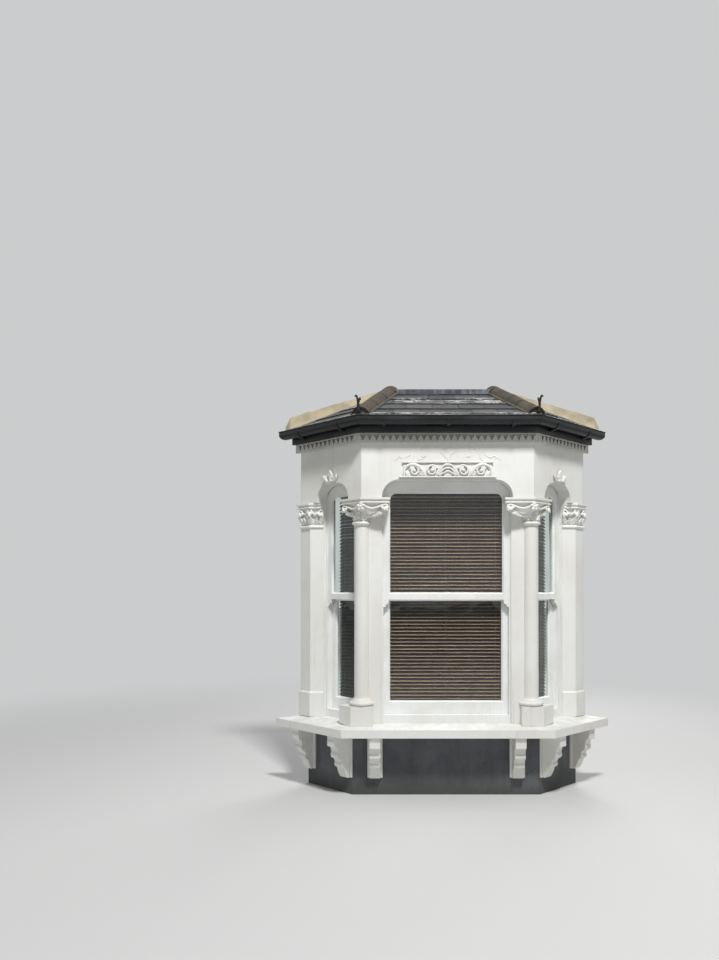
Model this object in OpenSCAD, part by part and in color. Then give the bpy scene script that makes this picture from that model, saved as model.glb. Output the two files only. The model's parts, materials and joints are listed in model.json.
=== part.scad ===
// Canted bay window of a brick house: masonry bay on a rendered apron, with sash
// windows, columns at the corners and a slated hipped roof.
// Millimetres. X runs along the house wall, Y into it, Z up from the ground.
// The house wall is the plane behind the bay, where every ring of it stops.

/* [Plan] */
// Width of the front face of the frieze, corner to corner
front_w = 1368; // [1200:10:1700]
// How far the frieze stands out from the house wall
bay_depth = 526; // [480:2:620]
// Angle of the canted sides to the house wall
cant_angle = 45; // [43:1:48]
// How far the nose of the sill stands out from the frieze in front
sill_lip = 55; // [40:1:90]
// How far it stands out from the frieze on the canted sides
sill_side_lip = 151; // [120:1:180]
// How far the cornice stands out in front
cornice_lip = 14; // [10:1:30]
// How far it stands out on the canted sides
cornice_side_lip = 32; // [12:1:40]
// How far the gutter stands out in front
eaves_lip = 154; // [140:1:200]
// How far it stands out on the canted sides
eaves_side_lip = 134; // [130:1:180]

/* [Heights] */
// Ground to the underside of the sill
apron_h = 490; // [400:5:700]
// Ground to the floor inside
floor_h = 120; // [90:5:200]
// Height of the window openings, from the sill to their flat heads
window_h = 1946; // [1600:2:2200]
// How far below those heads the columns and pilasters stop
shoulder_drop = 142; // [120:1:180]
// Height of the frieze above the window heads
frieze_h = 295; // [240:1:400]
// Height of the cornice
cornice_t = 71; // [60:1:90]
// Height of the drip of the slates above the cornice
eaves_h = 128; // [115:1:180]
// Rise of the roof from the drip to its top at the wall
roof_rise = 330; // [280:5:450]

/* [Apron and sill] */
// Thickness of the rendered apron
apron_t = 215; // [150:5:240]
// Height of the nose of the sill
nose_t = 65; // [50:1:90]
// Rise of the sill's top from its nose to the windows
weathering = 27; // [10:1:40]
// Thickness of the floorboards
board_t = 22; // [18:1:28]
// Thickness of the window boards inside
window_board_t = 25; // [18:1:32]
// How far the window boards stand out over the room
window_board_nose = 30; // [10:1:45]

/* [Consoles] */
// Projection of a console from the apron
console_d = 180; // [150:2:200]
// Width of a console
console_w = 86; // [70:1:110]
// Height of a console
console_h = 350; // [300:5:380]
// How far the console stops behind the nose of the sill
console_inset = 16; // [5:1:30]
// Distance of the front consoles from the corners of the nose
console_front_in = 268; // [200:2:400]
// Distance of the inner console of a canted side from the corner of the nose
console_inner_t = 135; // [110:1:180]
// Distance of its outer console from the wall end of the nose
console_outer_in = 237; // [210:1:300]
// How far the back plate shows on each side of a console
plate_lip = 18; // [8:1:30]
// Thickness of the back plate
plate_t = 16; // [8:1:25]

/* [Piers and pilasters] */
// How far the face of a corner pier lies behind the frieze
pier_setback = 95; // [80:1:110]
// How far the inner face of the piers lies behind the frieze
wall_t = 232; // [220:1:250]
// Distance of the front window opening from the corners of the frieze
pier_w = 166; // [140:2:220]
// Distance of the side window opening from the corner of the frieze
side_open_t = 151; // [145:1:180]
// How far the face of a wall pilaster stands out from the wall
pilaster_y = 86; // [70:1:110]
// Width of that face
pilaster_w = 113; // [90:1:130]
// Height of a pilaster plinth
pilaster_plinth_h = 214; // [150:2:260]
// How far a pilaster plinth stands proud of the pilaster
plinth_lip = 12; // [6:1:18]
// Height of a capital without its abacus
capital_h = 136; // [110:2:170]
// Thickness of an abacus
abacus_t = 45; // [35:1:60]
// Radius of the hollow moulding below an abacus
abacus_cove = 12; // [6:1:16]
// How far the bell of a wall capital flares out
wall_flare = 20; // [12:1:26]
// Radius of the balls at the ends of the ribbons of a capital
ball_r = 17; // [10:1:20]
// Height of the ring below a capital
astragal_t = 36; // [24:1:44]

/* [Columns] */
// Radius of a column shaft
shaft_r = 61; // [52:1:70]
// Distance of a column's axis from the corner of the frieze, towards the middle
column_in = 3; // [0:1:20]
// Distance of a column's axis behind the frieze
column_back = 114; // [105:1:125]
// Height of a column plinth
column_plinth_h = 146; // [110:2:200]
// Width of the front face of a column plinth
column_plinth_w = 176; // [160:2:200]
// Length of the canted face of a column plinth
column_plinth_side = 135; // [120:1:150]
// Height of the turned base of a column
base_h = 75; // [60:1:100]
// Width of the front face of an abacus over a column
abacus_w = 236; // [220:2:250]
// How far that abacus stands in front of the frieze
abacus_lip = 14; // [8:1:20]

/* [Windows] */
// How far the face of a sash box lies behind the frieze
box_setback = 112; // [105:1:120]
// Depth of a sash box, front to back
box_d = 94; // [90:1:104]
// Part of a box jamb that the masonry hides
box_hidden = 45; // [35:1:50]
// Lining of a box that shows beside the sashes
box_lining = 12; // [8:1:20]
// Height of the wooden sill of a box
box_sill_h = 66; // [50:1:80]
// Thickness of a sash
sash_t = 38; // [32:1:40]
// Width of a sash stile
stile_w = 43; // [36:1:55]
// Height of the top rail of an upper sash
top_rail_h = 87; // [60:1:100]
// Height of a meeting rail
meeting_rail_h = 45; // [32:1:50]
// Height of the bottom rail of a lower sash
bottom_rail_h = 95; // [80:1:120]
// Height of the middle of the meeting rails above the sill
meeting_h = 1016; // [800:2:1200]
// Radius of the rounded top corners of the upper glass
glass_corner_r = 60; // [20:1:80]
// Thickness of the glass
glass_t = 4; // [3:1:6]
// Length of the horns below an upper sash
horn_h = 58; // [30:1:80]

/* [Blinds] */
// Spacing of the slats
slat_pitch = 29; // [22:0.5:40]
// Width of a slat
slat_w = 34; // [30:1:40]
// Thickness of a slat
slat_t = 3; // [2:0.1:5]
// Tilt of the slats
slat_tilt = 60; // [45:1:75]

/* [Cornice and frieze] */
// Spacing of the teeth along the cornice
tooth_pitch = 53.5; // [45:0.5:70]
// Depth to which the gaps between the teeth are sunk
tooth_sink = 20; // [12:1:24]
// Height of the plain fillet above the teeth
cornice_fillet = 11; // [8:1:16]
// Height of the plain fillet below the teeth
cornice_base = 13; // [8:1:18]
// Radius of the rounded shoulders of an opening
shoulder_r = 135; // [80:1:140]
// How far the label over the front opening stops short of its jambs
label_in = 132; // [60:2:200]
// Height of the carved panel that stands on the label
panel_h = 104; // [80:2:130]
// How far that panel stops short of the ends of the label
panel_in = 36; // [10:2:80]
// Width of the small label over a side opening
boss_w = 120; // [80:2:160]
// Length of the leaves that stand on it
boss_leaf = 66; // [40:2:80]

/* [Roof] */
// Distance of the top of a hip from the corner of the gutter, along the wall
hip_run = 265; // [240:1:360]
// Thickness of the slates with their boarding
slope_t = 36; // [28:1:45]
// Width of the gutter
gutter_w = 80; // [70:1:100]
// Height of the gutter above its bottom
gutter_h = 72; // [60:1:90]
// Thickness of the gutter
gutter_t = 5; // [4:0.5:8]
// Thickness of the brackets below the gutter
bracket_t = 6; // [4:0.5:10]
// Width of those brackets
bracket_w = 30; // [20:1:45]
// Thickness of the fascia
fascia_t = 20; // [15:1:28]
// Thickness of the soffit boards
soffit_t = 15; // [12:1:20]
// Thickness of a rafter
rafter_t = 50; // [38:1:60]
// Depth of a rafter below the boarding
rafter_d = 75; // [60:1:85]
// Thickness of the ceiling
ceiling_t = 22; // [12:1:30]
// Radius of a hip tile
hip_tile_r = 92; // [70:1:110]
// Depth of the joints between the hip tiles
hip_joint = 5; // [3:1:10]
// Length of a hip tile that shows
hip_tile_len = 230; // [160:5:300]
// How far the cement fillets stand out from the wall over the side slopes
fillet_w = 75; // [50:1:110]
// Height of those fillets on the wall, at the gutter
fillet_h = 104; // [70:1:140]
// Height of their upper ends above the top of the roof
fillet_head = 40; // [10:1:60]
// Width of the lead at the top of the roof
flashing_w = 70; // [50:1:110]
// Height of the lead above the top of the slates
flashing_t = 6; // [4:1:15]
// Height of a hip iron
iron_h = 140; // [80:5:160]
// Width of a hip iron
iron_w = 30; // [20:1:40]

/* [Hidden] */
$fn = 64;

// Details that follow no size above
base_flare = 22;
bell_flare = 44;
shaft_taper = 2;
box_cover = 60;
cornice_seat = 60;
plate_w = 100;
plinth_back = 170;
leaf_relief = 9;
ribbon_t = 12;
ribbon_d = 26;

// Outlines of the bay in plan: half the front width, and the depth
FRIEZE = [front_w / 2, bay_depth];
SILL = outline(sill_lip, sill_side_lip);
CORNICE = outline(cornice_lip, cornice_side_lip);
EAVES = outline(eaves_lip, eaves_side_lip);
// Outline that stands out from the frieze by one lip in front, by another on the sides
function outline(front, side) = [
    front_w / 2 + side / sin(cant_angle) - front / tan(cant_angle), bay_depth + front
];
// Length of a canted side of an outline, from its corner to the wall
function side_length(o) = o.y / sin(cant_angle);
reach = 4000;
high = 5000;
overall_depth = max(EAVES.y, SILL.y);
run_out = 60;
run_in = SILL.y - 40;

// Levels
sill_top = apron_h + nose_t + weathering;
head_h = sill_top + window_h;
spring_h = head_h - shoulder_drop;
cornice_h = head_h + frieze_h;
meeting_z = sill_top + meeting_h;
box_top = head_h + box_cover;
sash_head = head_h + 2;
lower_sash_z = sill_top + box_sill_h;
meeting_low = meeting_z - meeting_rail_h / 2;
meeting_high = meeting_z + meeting_rail_h / 2;
capital_z = spring_h - abacus_t - capital_h;
cornice_top = cornice_h + cornice_t;
soffit_top = cornice_top + soffit_t;
drip_h = cornice_top + eaves_h;
ridge_h = drip_h + roof_rise;

// Places along the outlines
front_open_w = front_w - 2 * pier_w;
column_x = FRIEZE.x - column_in;
column_y = FRIEZE.y - column_back;
console_front_x = SILL.x - console_front_in;
console_outer_t = side_length(SILL) - console_outer_in;
label_w = front_open_w - 2 * label_in;
panel_w = label_w - 2 * panel_in;
ridge_w = 2 * (EAVES.x - hip_run);

// Offsets from the frieze, inwards negative
pier_face = -pier_setback;
box_face = -box_setback;
box_back = -(box_setback + box_d);
wall_inside = -wall_t;
upper_face = box_face - 6;
lower_face = upper_face - sash_t - 8;
side_blind_trim = 40;
glass_inset = 8;

// Offsets from the sill nose
apron_face = -(console_inset + console_d);
apron_inside = apron_face - apron_t;
plinth_margin = 80;

// Where a line at offset d from an outline meets the wall, and where it turns
function wall_x(o, d) = o.x + o.y / tan(cant_angle) + d / sin(cant_angle);
function corner(o, d) = [wall_x(o, d) - (o.y + d) / tan(cant_angle), -(o.y + d)];
function wall_point(o, d) = [wall_x(o, d), 0];
function flip(p) = [-p.x, p.y];

// A point of the right side at distance t from the corner and offset d
function side_point(t, d) = [
    FRIEZE.x + t * cos(cant_angle) + d * sin(cant_angle),
    -FRIEZE.y + t * sin(cant_angle) - d * cos(cant_angle)
];
// Distance from the corner of the frieze of a point of the plan
function side_distance(p) = (p.x - FRIEZE.x) * cos(cant_angle) + (p.y + FRIEZE.y) * sin(cant_angle);
// Distance from the corner at which the side at offset d runs into the wall
function side_end(d) = (FRIEZE.y + d * cos(cant_angle)) / sin(cant_angle);

pilaster_corner = [wall_x(FRIEZE, 0) - pilaster_y / tan(cant_angle), -pilaster_y];
pilaster_edge = [pilaster_corner.x - pilaster_w, -pilaster_y];
side_open_end = side_distance(pilaster_edge);
side_open_w = side_open_end - side_open_t;
side_open_mid = (side_open_end + side_open_t) / 2;

// Places a solid of the bay on the middle of its footprint
module placed() translate([0, overall_depth / 2, 0]) children();

// Turns the right hand piece into the left one where s is -1
module handed(s) {
    if (s > 0) children();
    else mirror([1, 0, 0]) children();
}

// Frames of the front and of a canted side: x along the face, -y outwards
module at_front(o) translate([0, -o.y, 0]) children();
module at_side(o) translate([o.x, -o.y, 0]) rotate([0, 0, cant_angle]) children();

// Plans of the three stretches of a ring between two outlines with offsets
module front_plan(o, d, i, e)
    polygon([flip(corner(o, d)), corner(o, d), corner(i, e), flip(corner(i, e))]);
module side_plan(o, d, i, e)
    polygon([corner(o, d), wall_point(o, d), wall_point(i, e), corner(i, e)]);
module ring_plan(o, d, i, e) {
    front_plan(o, d, i, e);
    side_plan(o, d, i, e);
    mirror([1, 0]) side_plan(o, d, i, e);
}
// Everything inside an outline at an offset, up to the wall
module inside_plan(o, d)
    polygon([flip(wall_point(o, d)), flip(corner(o, d)), corner(o, d), wall_point(o, d)]);

module slab(z, h) translate([0, 0, z]) linear_extrude(h) children();

// A profile of offset and height drawn out along x
module drawn(from, to)
    translate([from, 0, 0]) mirror([0, 1, 0]) rotate([90, 0, 90]) linear_extrude(to - from) children();

// A profile run along the front or a side of an outline, mitred at the corners
module front_run(o)
    intersection() {
        slab(0, high) front_plan(o, run_out, o, -run_in);
        at_front(o) drawn(-reach, reach) children();
    }
module side_run(o)
    intersection() {
        slab(0, high) side_plan(o, run_out, o, -run_in);
        at_side(o) drawn(-reach, reach) children();
    }

// Everything behind the wall plane
module behind_wall() translate([-reach, 0, -high]) cube([2 * reach, reach, 3 * high]);

// Points of an arc about c, in n steps
function arc(c, r, from, to, n) = [
    for (i = [0 : n]) c + r * [cos(from + (to - from) * i / n), sin(from + (to - from) * i / n)]
];

// Pointed leaf of a length and width, its foot at the origin
module leaf(len, w) {
    r = (len * len + w * w) / (4 * w);
    intersection() {
        translate([r - w / 2, len / 2]) circle(r);
        translate([w / 2 - r, len / 2]) circle(r);
    }
}

// Base

module oversite() color("dimgray")
    placed() slab(0, floor_h - board_t) inside_plan(SILL, apron_inside);

module floor_boards() color("burlywood")
    placed() slab(floor_h - board_t, board_t) inside_plan(SILL, apron_inside);

module apron_front() color("slategray")
    placed() slab(0, apron_h) front_plan(SILL, apron_face, SILL, apron_inside);

module apron_side(s) color("slategray")
    placed() handed(s) slab(0, apron_h) side_plan(SILL, apron_face, SILL, apron_inside);

// Scroll profile of a console: cap, two rolls and a long sweep to its foot
module console_profile() {
    roll_r = 27;
    top = console_d;
    // Rolls and hollows as [in from the front, down from the top, radius], the foot roll from its foot
    middle_roll = [84, 158, 32];
    foot_roll = [62, 112, 26];
    hollows = [[20, 112, 26], [56, 228, 34]];
    difference() {
        union() {
            translate([0, console_h - 34]) square([top, 34]);
            translate([0, console_h - 88]) square([top - roll_r, 60]);
            translate([top - roll_r, console_h - 34 - roll_r]) circle(roll_r);
            polygon([
                [0, 0], [24, 0], [46, 40], [70, 110], [top - 62, console_h - 150],
                [top - 48, console_h - 88], [0, console_h - 88]
            ]);
            translate([top - middle_roll.x, console_h - middle_roll.y]) circle(middle_roll.z);
            translate([foot_roll.x, foot_roll.y]) circle(foot_roll.z);
        }
        for (h = hollows) translate([top - h.x, console_h - h.y]) circle(h.z);
    }
}

module console() {
    bottom = apron_h - console_h;
    translate([0, 0, bottom]) {
        drawn(-console_w / 2, console_w / 2)
            translate([apron_face + plate_t, 0]) intersection() {
                console_profile();
                square([console_d - plate_t, console_h]);
            }
        drawn(-console_w / 2 - plate_lip, console_w / 2 + plate_lip)
            translate([apron_face, 0]) square([plate_t, console_h]);
    }
}

module consoles() color("whitesmoke")
    placed() for (s = [-1, 1]) handed(s) difference() {
        union() {
            at_front(SILL) translate([console_front_x, 0, 0]) console();
            for (t = [console_inner_t, console_outer_t]) at_side(SILL) translate([t, 0, 0]) console();
        }
        behind_wall();
    }

// Section of the sill: square nose, weathered top, flat bed under the windows
sill_bed = FRIEZE.y + box_face - SILL.y;
module sill_profile() {
    polygon([
        [0, apron_h], [0, apron_h + nose_t], [sill_bed, sill_top],
        [apron_inside, sill_top], [apron_inside, apron_h]
    ]);
}

module sill_front() color("whitesmoke")
    placed() front_run(SILL) sill_profile();

module sill_side(s) color("whitesmoke")
    placed() handed(s) side_run(SILL) sill_profile();

module window_boards() color("white")
    placed() difference() {
        slab(sill_top, window_board_t)
            ring_plan(FRIEZE, box_back, SILL, apron_inside - window_board_nose);
        slab(0, high) inside_plan_piers();
    }

// Piers, columns and pilasters

// Plan of the right corner pier, with a rebate for each sash box
module pier_plan() {
    x = front_open_w / 2;
    t = side_open_t;
    polygon([
        [x, -(bay_depth + pier_face)], corner(FRIEZE, pier_face),
        side_point(t, pier_face), side_point(t, box_face), side_point(t - box_hidden, box_face),
        side_point(t - box_hidden, wall_inside), corner(FRIEZE, wall_inside),
        [x + box_hidden, -(bay_depth + wall_inside)], [x + box_hidden, -(bay_depth + box_face)],
        [x, -(bay_depth + box_face)]
    ]);
}
module inside_plan_piers() for (s = [0, 1]) mirror([s, 0]) pier_plan();

module pier(s) color("whitesmoke")
    placed() handed(s) difference() {
        slab(apron_h, spring_h - apron_h) pier_plan();
        below_sill();
    }

// Everything inside the outline of the sill and below its top
module below_sill() intersection() {
    at_front(SILL) drawn(-reach, reach) below_sill_profile();
    for (s = [0, 1]) mirror([s, 0, 0]) at_side(SILL) drawn(-reach, reach) below_sill_profile();
}
module below_sill_profile() {
    polygon([
        [0, 0], [0, apron_h + nose_t], [sill_bed, sill_top], [-reach, sill_top], [-reach, 0]
    ]);
}

// Plan of a column plinth: a face to the front, one along the canted side
module column_plinth_plan() {
    front_y = -(SILL.y - plinth_margin);
    left = column_x - column_plinth_w / 2;
    turn = [left + column_plinth_w, front_y];
    out = turn + column_plinth_side * [cos(cant_angle), sin(cant_angle)];
    back = out + plinth_back * [-sin(cant_angle), cos(cant_angle)];
    polygon([[left, front_y], turn, out, back, [left, front_y + plinth_back]]);
}

module column_plinths() color("whitesmoke")
    placed() for (s = [-1, 1]) handed(s) difference() {
        slab(apron_h, sill_top + column_plinth_h - apron_h) column_plinth_plan();
        below_sill();
        behind_piers();
    }

// What lies behind the faces of the corner piers
module behind_piers() slab(0, high) inside_plan(FRIEZE, pier_face);

// Turned column: base with a torus and a flare, shaft, and the ring below the capital
module column_turning() {
    base_z = sill_top + column_plinth_h;
    torus_r = base_h / 4;
    ring_r = astragal_t / 2 - 5;
    flare_h = base_h - 2 * torus_r - 4;
    rotate_extrude() polygon(concat(
        [[0, base_z]],
        arc([shaft_r + base_flare, base_z + torus_r], torus_r, -90, 90, 12),
        [for (a = [0 : 15 : 90]) [
            shaft_r + base_flare * (1 - sin(a)), base_z + base_h - flare_h * cos(a)
        ]],
        [[shaft_r - shaft_taper, capital_z - astragal_t]],
        arc([shaft_r + 4, capital_z - astragal_t / 2], ring_r, -90, 90, 10),
        [[shaft_r + 4, capital_z], [0, capital_z]]
    ));
}

module column(s) color("gainsboro")
    placed() handed(s) difference() {
        translate([column_x, -column_y, 0]) rotate([0, 0, 90 + cant_angle / 2]) column_turning();
        behind_piers();
    }

// Plan of the abacus over a column: it follows the corner of the frieze
module column_abacus_plan() {
    turn = corner(FRIEZE, abacus_lip);
    left = turn.x - abacus_w;
    out = turn + abacus_w * [cos(cant_angle), sin(cant_angle)];
    back = abacus_lip + pier_setback;
    polygon([
        [left, turn.y], turn, out, out + back * [-sin(cant_angle), cos(cant_angle)],
        corner(FRIEZE, pier_face), [left, turn.y + back]
    ]);
}

// Points of the flare of a bell, as offset and height, from its foot at z
function flare_points(from, flare, z) = [
    for (a = [0 : 15 : 90]) [from + flare * (1 - cos(a)), z + capital_h * 0.86 * sin(a)]
];
// Points of the edge of an abacus: a cove below a fillet
function abacus_points(lip) = concat(
    arc([lip, spring_h - abacus_t], abacus_cove, 180, 90, 4), [[lip, spring_h]]
);

module bell(r) rotate_extrude() polygon(concat(
    [[0, capital_z]], flare_points(r, bell_flare, capital_z),
    [[r + bell_flare, spring_h - abacus_t], [0, spring_h - abacus_t]]
));
module abacus_profile(lip)
    polygon(concat([[-reach, spring_h - abacus_t]], abacus_points(lip), [[-reach, spring_h]]));

// Ribbon that sags below an abacus from x = 0, with a ball near its other end
module ribbon(len, drop) translate([0, 0, spring_h - abacus_t]) {
    n = 10;
    translate([0, ribbon_d / 2, 0]) rotate([90, 0, 0]) linear_extrude(ribbon_d) polygon(concat(
        [for (i = [0 : n]) [len * i / n, 2 - drop * sin(180 * i / n)]],
        [for (i = [n : -1 : 0]) [len * i / n, -ribbon_t - drop * sin(180 * i / n)]]
    ));
    translate([len - ball_r, 0, -ribbon_t - ball_r]) sphere(ball_r);
}

// Leaf on the bell of a column, standing towards an angle from the corner of the bay
module bell_leaf(angle, len, w) intersection() {
    translate([column_x, -column_y, 0]) bell(shaft_r + leaf_relief);
    translate([column_x, -column_y, capital_z + 4]) rotate([0, 0, cant_angle / 2 + angle])
        rotate([90, 0, 0]) linear_extrude(bell_flare + 2 * shaft_r) leaf(len, w);
}

module column_capital(s) color("whitesmoke")
    placed() handed(s) difference() {
        union() {
            intersection() {
                slab(spring_h - abacus_t, abacus_t) column_abacus_plan();
                at_front(FRIEZE) drawn(-reach, reach) abacus_profile(abacus_lip);
                at_side(FRIEZE) drawn(-reach, reach) abacus_profile(abacus_lip);
            }
            translate([column_x, -column_y, 0]) bell(shaft_r);
            at_front(FRIEZE) translate([FRIEZE.x, 0, 0]) mirror([1, 0, 0]) ribbon(abacus_w - 16, 22);
            at_side(FRIEZE) ribbon(abacus_w - 16, 22);
            at_front(FRIEZE) translate([FRIEZE.x - 4, 8, spring_h - abacus_t - ball_r]) sphere(ball_r + 6);
            for (a = [-70, 0, 70]) bell_leaf(a, capital_h * 0.66, 52);
        }
        behind_piers();
    }

// Plan of the right wall pilaster, grown by a lip on its outer faces
module pilaster_plan(lip) {
    outer = wall_x(FRIEZE, 0);
    polygon([
        [outer + lip / sin(cant_angle), 0],
        pilaster_corner + lip * [tan(cant_angle / 2), -1],
        pilaster_edge + [0, -lip],
        pilaster_edge, side_point(side_open_end, box_face),
        side_point(side_open_end + box_hidden, box_face),
        [side_wall_x(side_open_end + box_hidden), 0]
    ]);
}
// Where a line square to the canted side, at distance t, meets the wall
function side_wall_x(t) = side_point(t, (t * sin(cant_angle) - FRIEZE.y) / cos(cant_angle)).x;

// A profile of offset and height run round both faces of that pilaster
module pilaster_run() intersection() {
    translate([0, -pilaster_y, 0]) drawn(-reach, reach) children();
    at_side(FRIEZE) drawn(-reach, reach) children();
    slab(0, high) pilaster_plan(3 * plinth_lip);
}
module pilaster_profile() polygon(concat(
    [
        [-reach, apron_h], [plinth_lip, apron_h],
        [plinth_lip, sill_top + pilaster_plinth_h - plinth_lip], [0, sill_top + pilaster_plinth_h],
        [0, capital_z - astragal_t]
    ],
    arc([0, capital_z - astragal_t / 2], astragal_t / 2 - 5, -90, 90, 8),
    [[0, capital_z], [-reach, capital_z]]
));
module wall_capital_profile() polygon(concat(
    [[-reach, capital_z]], flare_points(1, wall_flare, capital_z),
    [[wall_flare + 1, spring_h - abacus_t]], abacus_points(wall_flare + abacus_cove / 2),
    [[-reach, spring_h]]
));
module wall_leaf_profile() polygon(concat(
    [[-2 * leaf_relief, capital_z]], flare_points(leaf_relief, wall_flare, capital_z),
    [[-2 * leaf_relief, capital_z + capital_h * 0.86]]
));

module pilaster(s) color("whitesmoke")
    placed() handed(s) difference() {
        pilaster_run() pilaster_profile();
        below_sill();
    }

// Frames of both faces of the right pilaster, with x from its corner along the face
module pilaster_faces() {
    translate([pilaster_corner.x, -pilaster_y, 0]) mirror([1, 0, 0]) {
        $len = pilaster_w;
        children();
    }
    translate([pilaster_corner.x, -pilaster_y, 0]) rotate([0, 0, cant_angle]) {
        $len = pilaster_y / sin(cant_angle);
        children();
    }
}

module pilaster_capitals() color("whitesmoke")
    placed() for (s = [-1, 1]) handed(s) {
        pilaster_run() wall_capital_profile();
        pilaster_faces() {
            translate([0, -wall_flare / 2, 0]) ribbon($len - abacus_cove, 18);
            intersection() {
                drawn(0, $len) wall_leaf_profile();
                translate([$len / 2, pilaster_y, capital_z + 4]) rotate([90, 0, 0])
                    linear_extrude(2 * pilaster_y) leaf(capital_h * 0.66, 48);
            }
        }
    }

// Lintels

// Opening with a flat head and rounded shoulders, above its springing
module shouldered_opening(w) {
    r = min(shoulder_r, head_h - spring_h - 5);
    translate([-w / 2, 0]) square([w, head_h - r]);
    translate([-w / 2 + r, 0]) square([w - 2 * r, head_h]);
    for (x = [-w / 2 + r, w / 2 - r]) translate([x, head_h - r]) circle(r);
}

// A lintel seen from its face is cut through by its opening, and rebated for its box
module opening_cutter(w) {
    rotate([90, 0, 0]) translate([0, 0, -2 * wall_t]) linear_extrude(3 * wall_t) shouldered_opening(w);
    translate([-w / 2 - box_hidden, -box_face, 0]) cube([w + 2 * box_hidden, 2 * wall_t, box_top]);
}

module lintel_front() color("whitesmoke")
    placed() difference() {
        slab(spring_h, cornice_h - spring_h) front_plan(FRIEZE, 0, FRIEZE, wall_inside);
        at_front(FRIEZE) opening_cutter(front_open_w);
    }

module lintel_side(s) color("whitesmoke")
    placed() handed(s) difference() {
        slab(spring_h, cornice_h - spring_h) side_plan(FRIEZE, 0, FRIEZE, wall_inside);
        at_side(FRIEZE) translate([side_open_mid, 0, 0]) opening_cutter(side_open_w);
    }

// Label over an opening: a flat moulding just above its head
label_gap = 2;
label_d = 26;
label_t = 22;
panel_z = head_h + label_gap + label_t;
panel_d = 14;
panel_top_t = 10;
carving_d = 24;
module label(w) translate([-w / 2, -label_d, head_h + label_gap]) cube([w, label_d, label_t]);

// Scroll: a ring that curls in to an eye, as tall as the panel
module scroll() {
    r = panel_h / 2 - 5;
    difference() {
        circle(r);
        circle(r - 13);
        translate([0, -r]) square([r / 2, r]);
    }
    circle(r / 3);
    translate([-r + 6, -5]) square([r - 8, 10]);
}

// Label over the front opening, with the carved panel standing on it
module label_panel() color("white")
    placed() at_front(FRIEZE) {
        label(label_w);
        translate([-panel_w / 2, -panel_d, panel_z]) cube([panel_w, panel_d, panel_h]);
        translate([-panel_w / 2 - 12, -panel_d - 6, panel_z + panel_h])
            cube([panel_w + 24, panel_d + 6, panel_top_t]);
        rotate([90, 0, 0]) linear_extrude(carving_d) {
            for (s = [0, 1]) mirror([s, 0]) {
                for (x = [0.17, 0.37]) translate([x * panel_w, panel_z + panel_h / 2]) scroll();
            }
            for (a = [-60 : 30 : 60]) translate([0, panel_z + 4]) rotate(a) leaf(panel_h * 0.86, 26);
        }
    }

// Small label over each side opening, with leaves standing on it
module side_bosses() color("white")
    placed() for (s = [-1, 1]) handed(s) at_side(FRIEZE) translate([side_open_mid, 0, 0]) {
        label(boss_w);
        rotate([90, 0, 0]) linear_extrude(carving_d)
            for (a = [-38 : 38 : 38]) translate([a / 2, panel_z - 6]) rotate(-a) leaf(boss_leaf, 24);
    }

// Cornice with a band of pyramidal teeth

// Sunk triangles between the teeth of one stretch of length len, centred on x
module tooth_gaps(len) {
    count = floor(len / tooth_pitch);
    band = cornice_t - cornice_fillet - cornice_base;
    z = cornice_h + cornice_base;
    for (i = [0 : count - 1]) translate([(i - (count - 1) / 2) * tooth_pitch, tooth_sink, z])
        rotate([90, 0, 0]) linear_extrude(tooth_sink + 50)
            polygon([[0, 0], [tooth_pitch * 0.46, band], [-tooth_pitch * 0.46, band]]);
}

module cornice_front() color("lightgray")
    placed() difference() {
        slab(cornice_h, cornice_t) front_plan(CORNICE, 0, FRIEZE, -cornice_seat);
        at_front(CORNICE) tooth_gaps(2 * CORNICE.x - 20);
    }

module cornice_side(s) color("lightgray")
    placed() handed(s) difference() {
        slab(cornice_h, cornice_t) side_plan(CORNICE, 0, FRIEZE, -cornice_seat);
        at_side(CORNICE) translate([side_length(CORNICE) / 2, 0, 0])
            tooth_gaps(side_length(CORNICE) - 20);
    }

// Windows

// A sash box seen from its face, with its sill, jambs and head
module sash_box(w) {
    full_w = w + 2 * box_hidden;
    rotate([90, 0, 0]) translate([0, 0, box_back]) linear_extrude(box_d) difference() {
        translate([-full_w / 2, sill_top]) square([full_w, box_top - sill_top]);
        translate([-w / 2 + box_lining, lower_sash_z])
            square([w - 2 * box_lining, sash_head - lower_sash_z]);
    }
}

module sash_box_front() color("white")
    placed() at_front(FRIEZE) sash_box(front_open_w);

module sash_boxes_side() color("white")
    placed() for (s = [-1, 1]) handed(s) difference() {
        at_side(FRIEZE) translate([side_open_mid, 0, 0]) sash_box(side_open_w);
        behind_wall();
    }

// Outline of the light of a sash
module light(w, low, high_z, r) {
    translate([-w / 2, low]) square([w, high_z - low - r]);
    translate([-w / 2 + r, low]) square([w - 2 * r, high_z - low]);
    for (x = [-w / 2 + r, w / 2 - r]) translate([x, high_z - r]) circle(max(r, 0.01));
}

module pane(w, low, high_z)
    translate([-w / 2 - glass_inset, 0, low - glass_inset])
        cube([w + 2 * glass_inset, glass_t, high_z - low + 2 * glass_inset]);

// Light of the upper and of the lower sash of a window of opening w
function sash_w(w) = w - 2 * box_lining;
function light_w(w) = sash_w(w) - 2 * stile_w;
upper_low = meeting_high;
upper_high = sash_head - top_rail_h;
lower_low = lower_sash_z + bottom_rail_h;
lower_high = meeting_low;
upper_glass_y = -upper_face + sash_t / 2 - glass_t / 2;
lower_glass_y = -lower_face + sash_t / 2 - glass_t / 2;

module horn(w, s)
    translate([s * w / 2, 0]) mirror([s > 0 ? 1 : 0, 0]) difference() {
        translate([0, meeting_low - horn_h]) square([stile_w, horn_h]);
        translate([stile_w, meeting_low - horn_h]) circle(stile_w * 0.62);
    }

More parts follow.
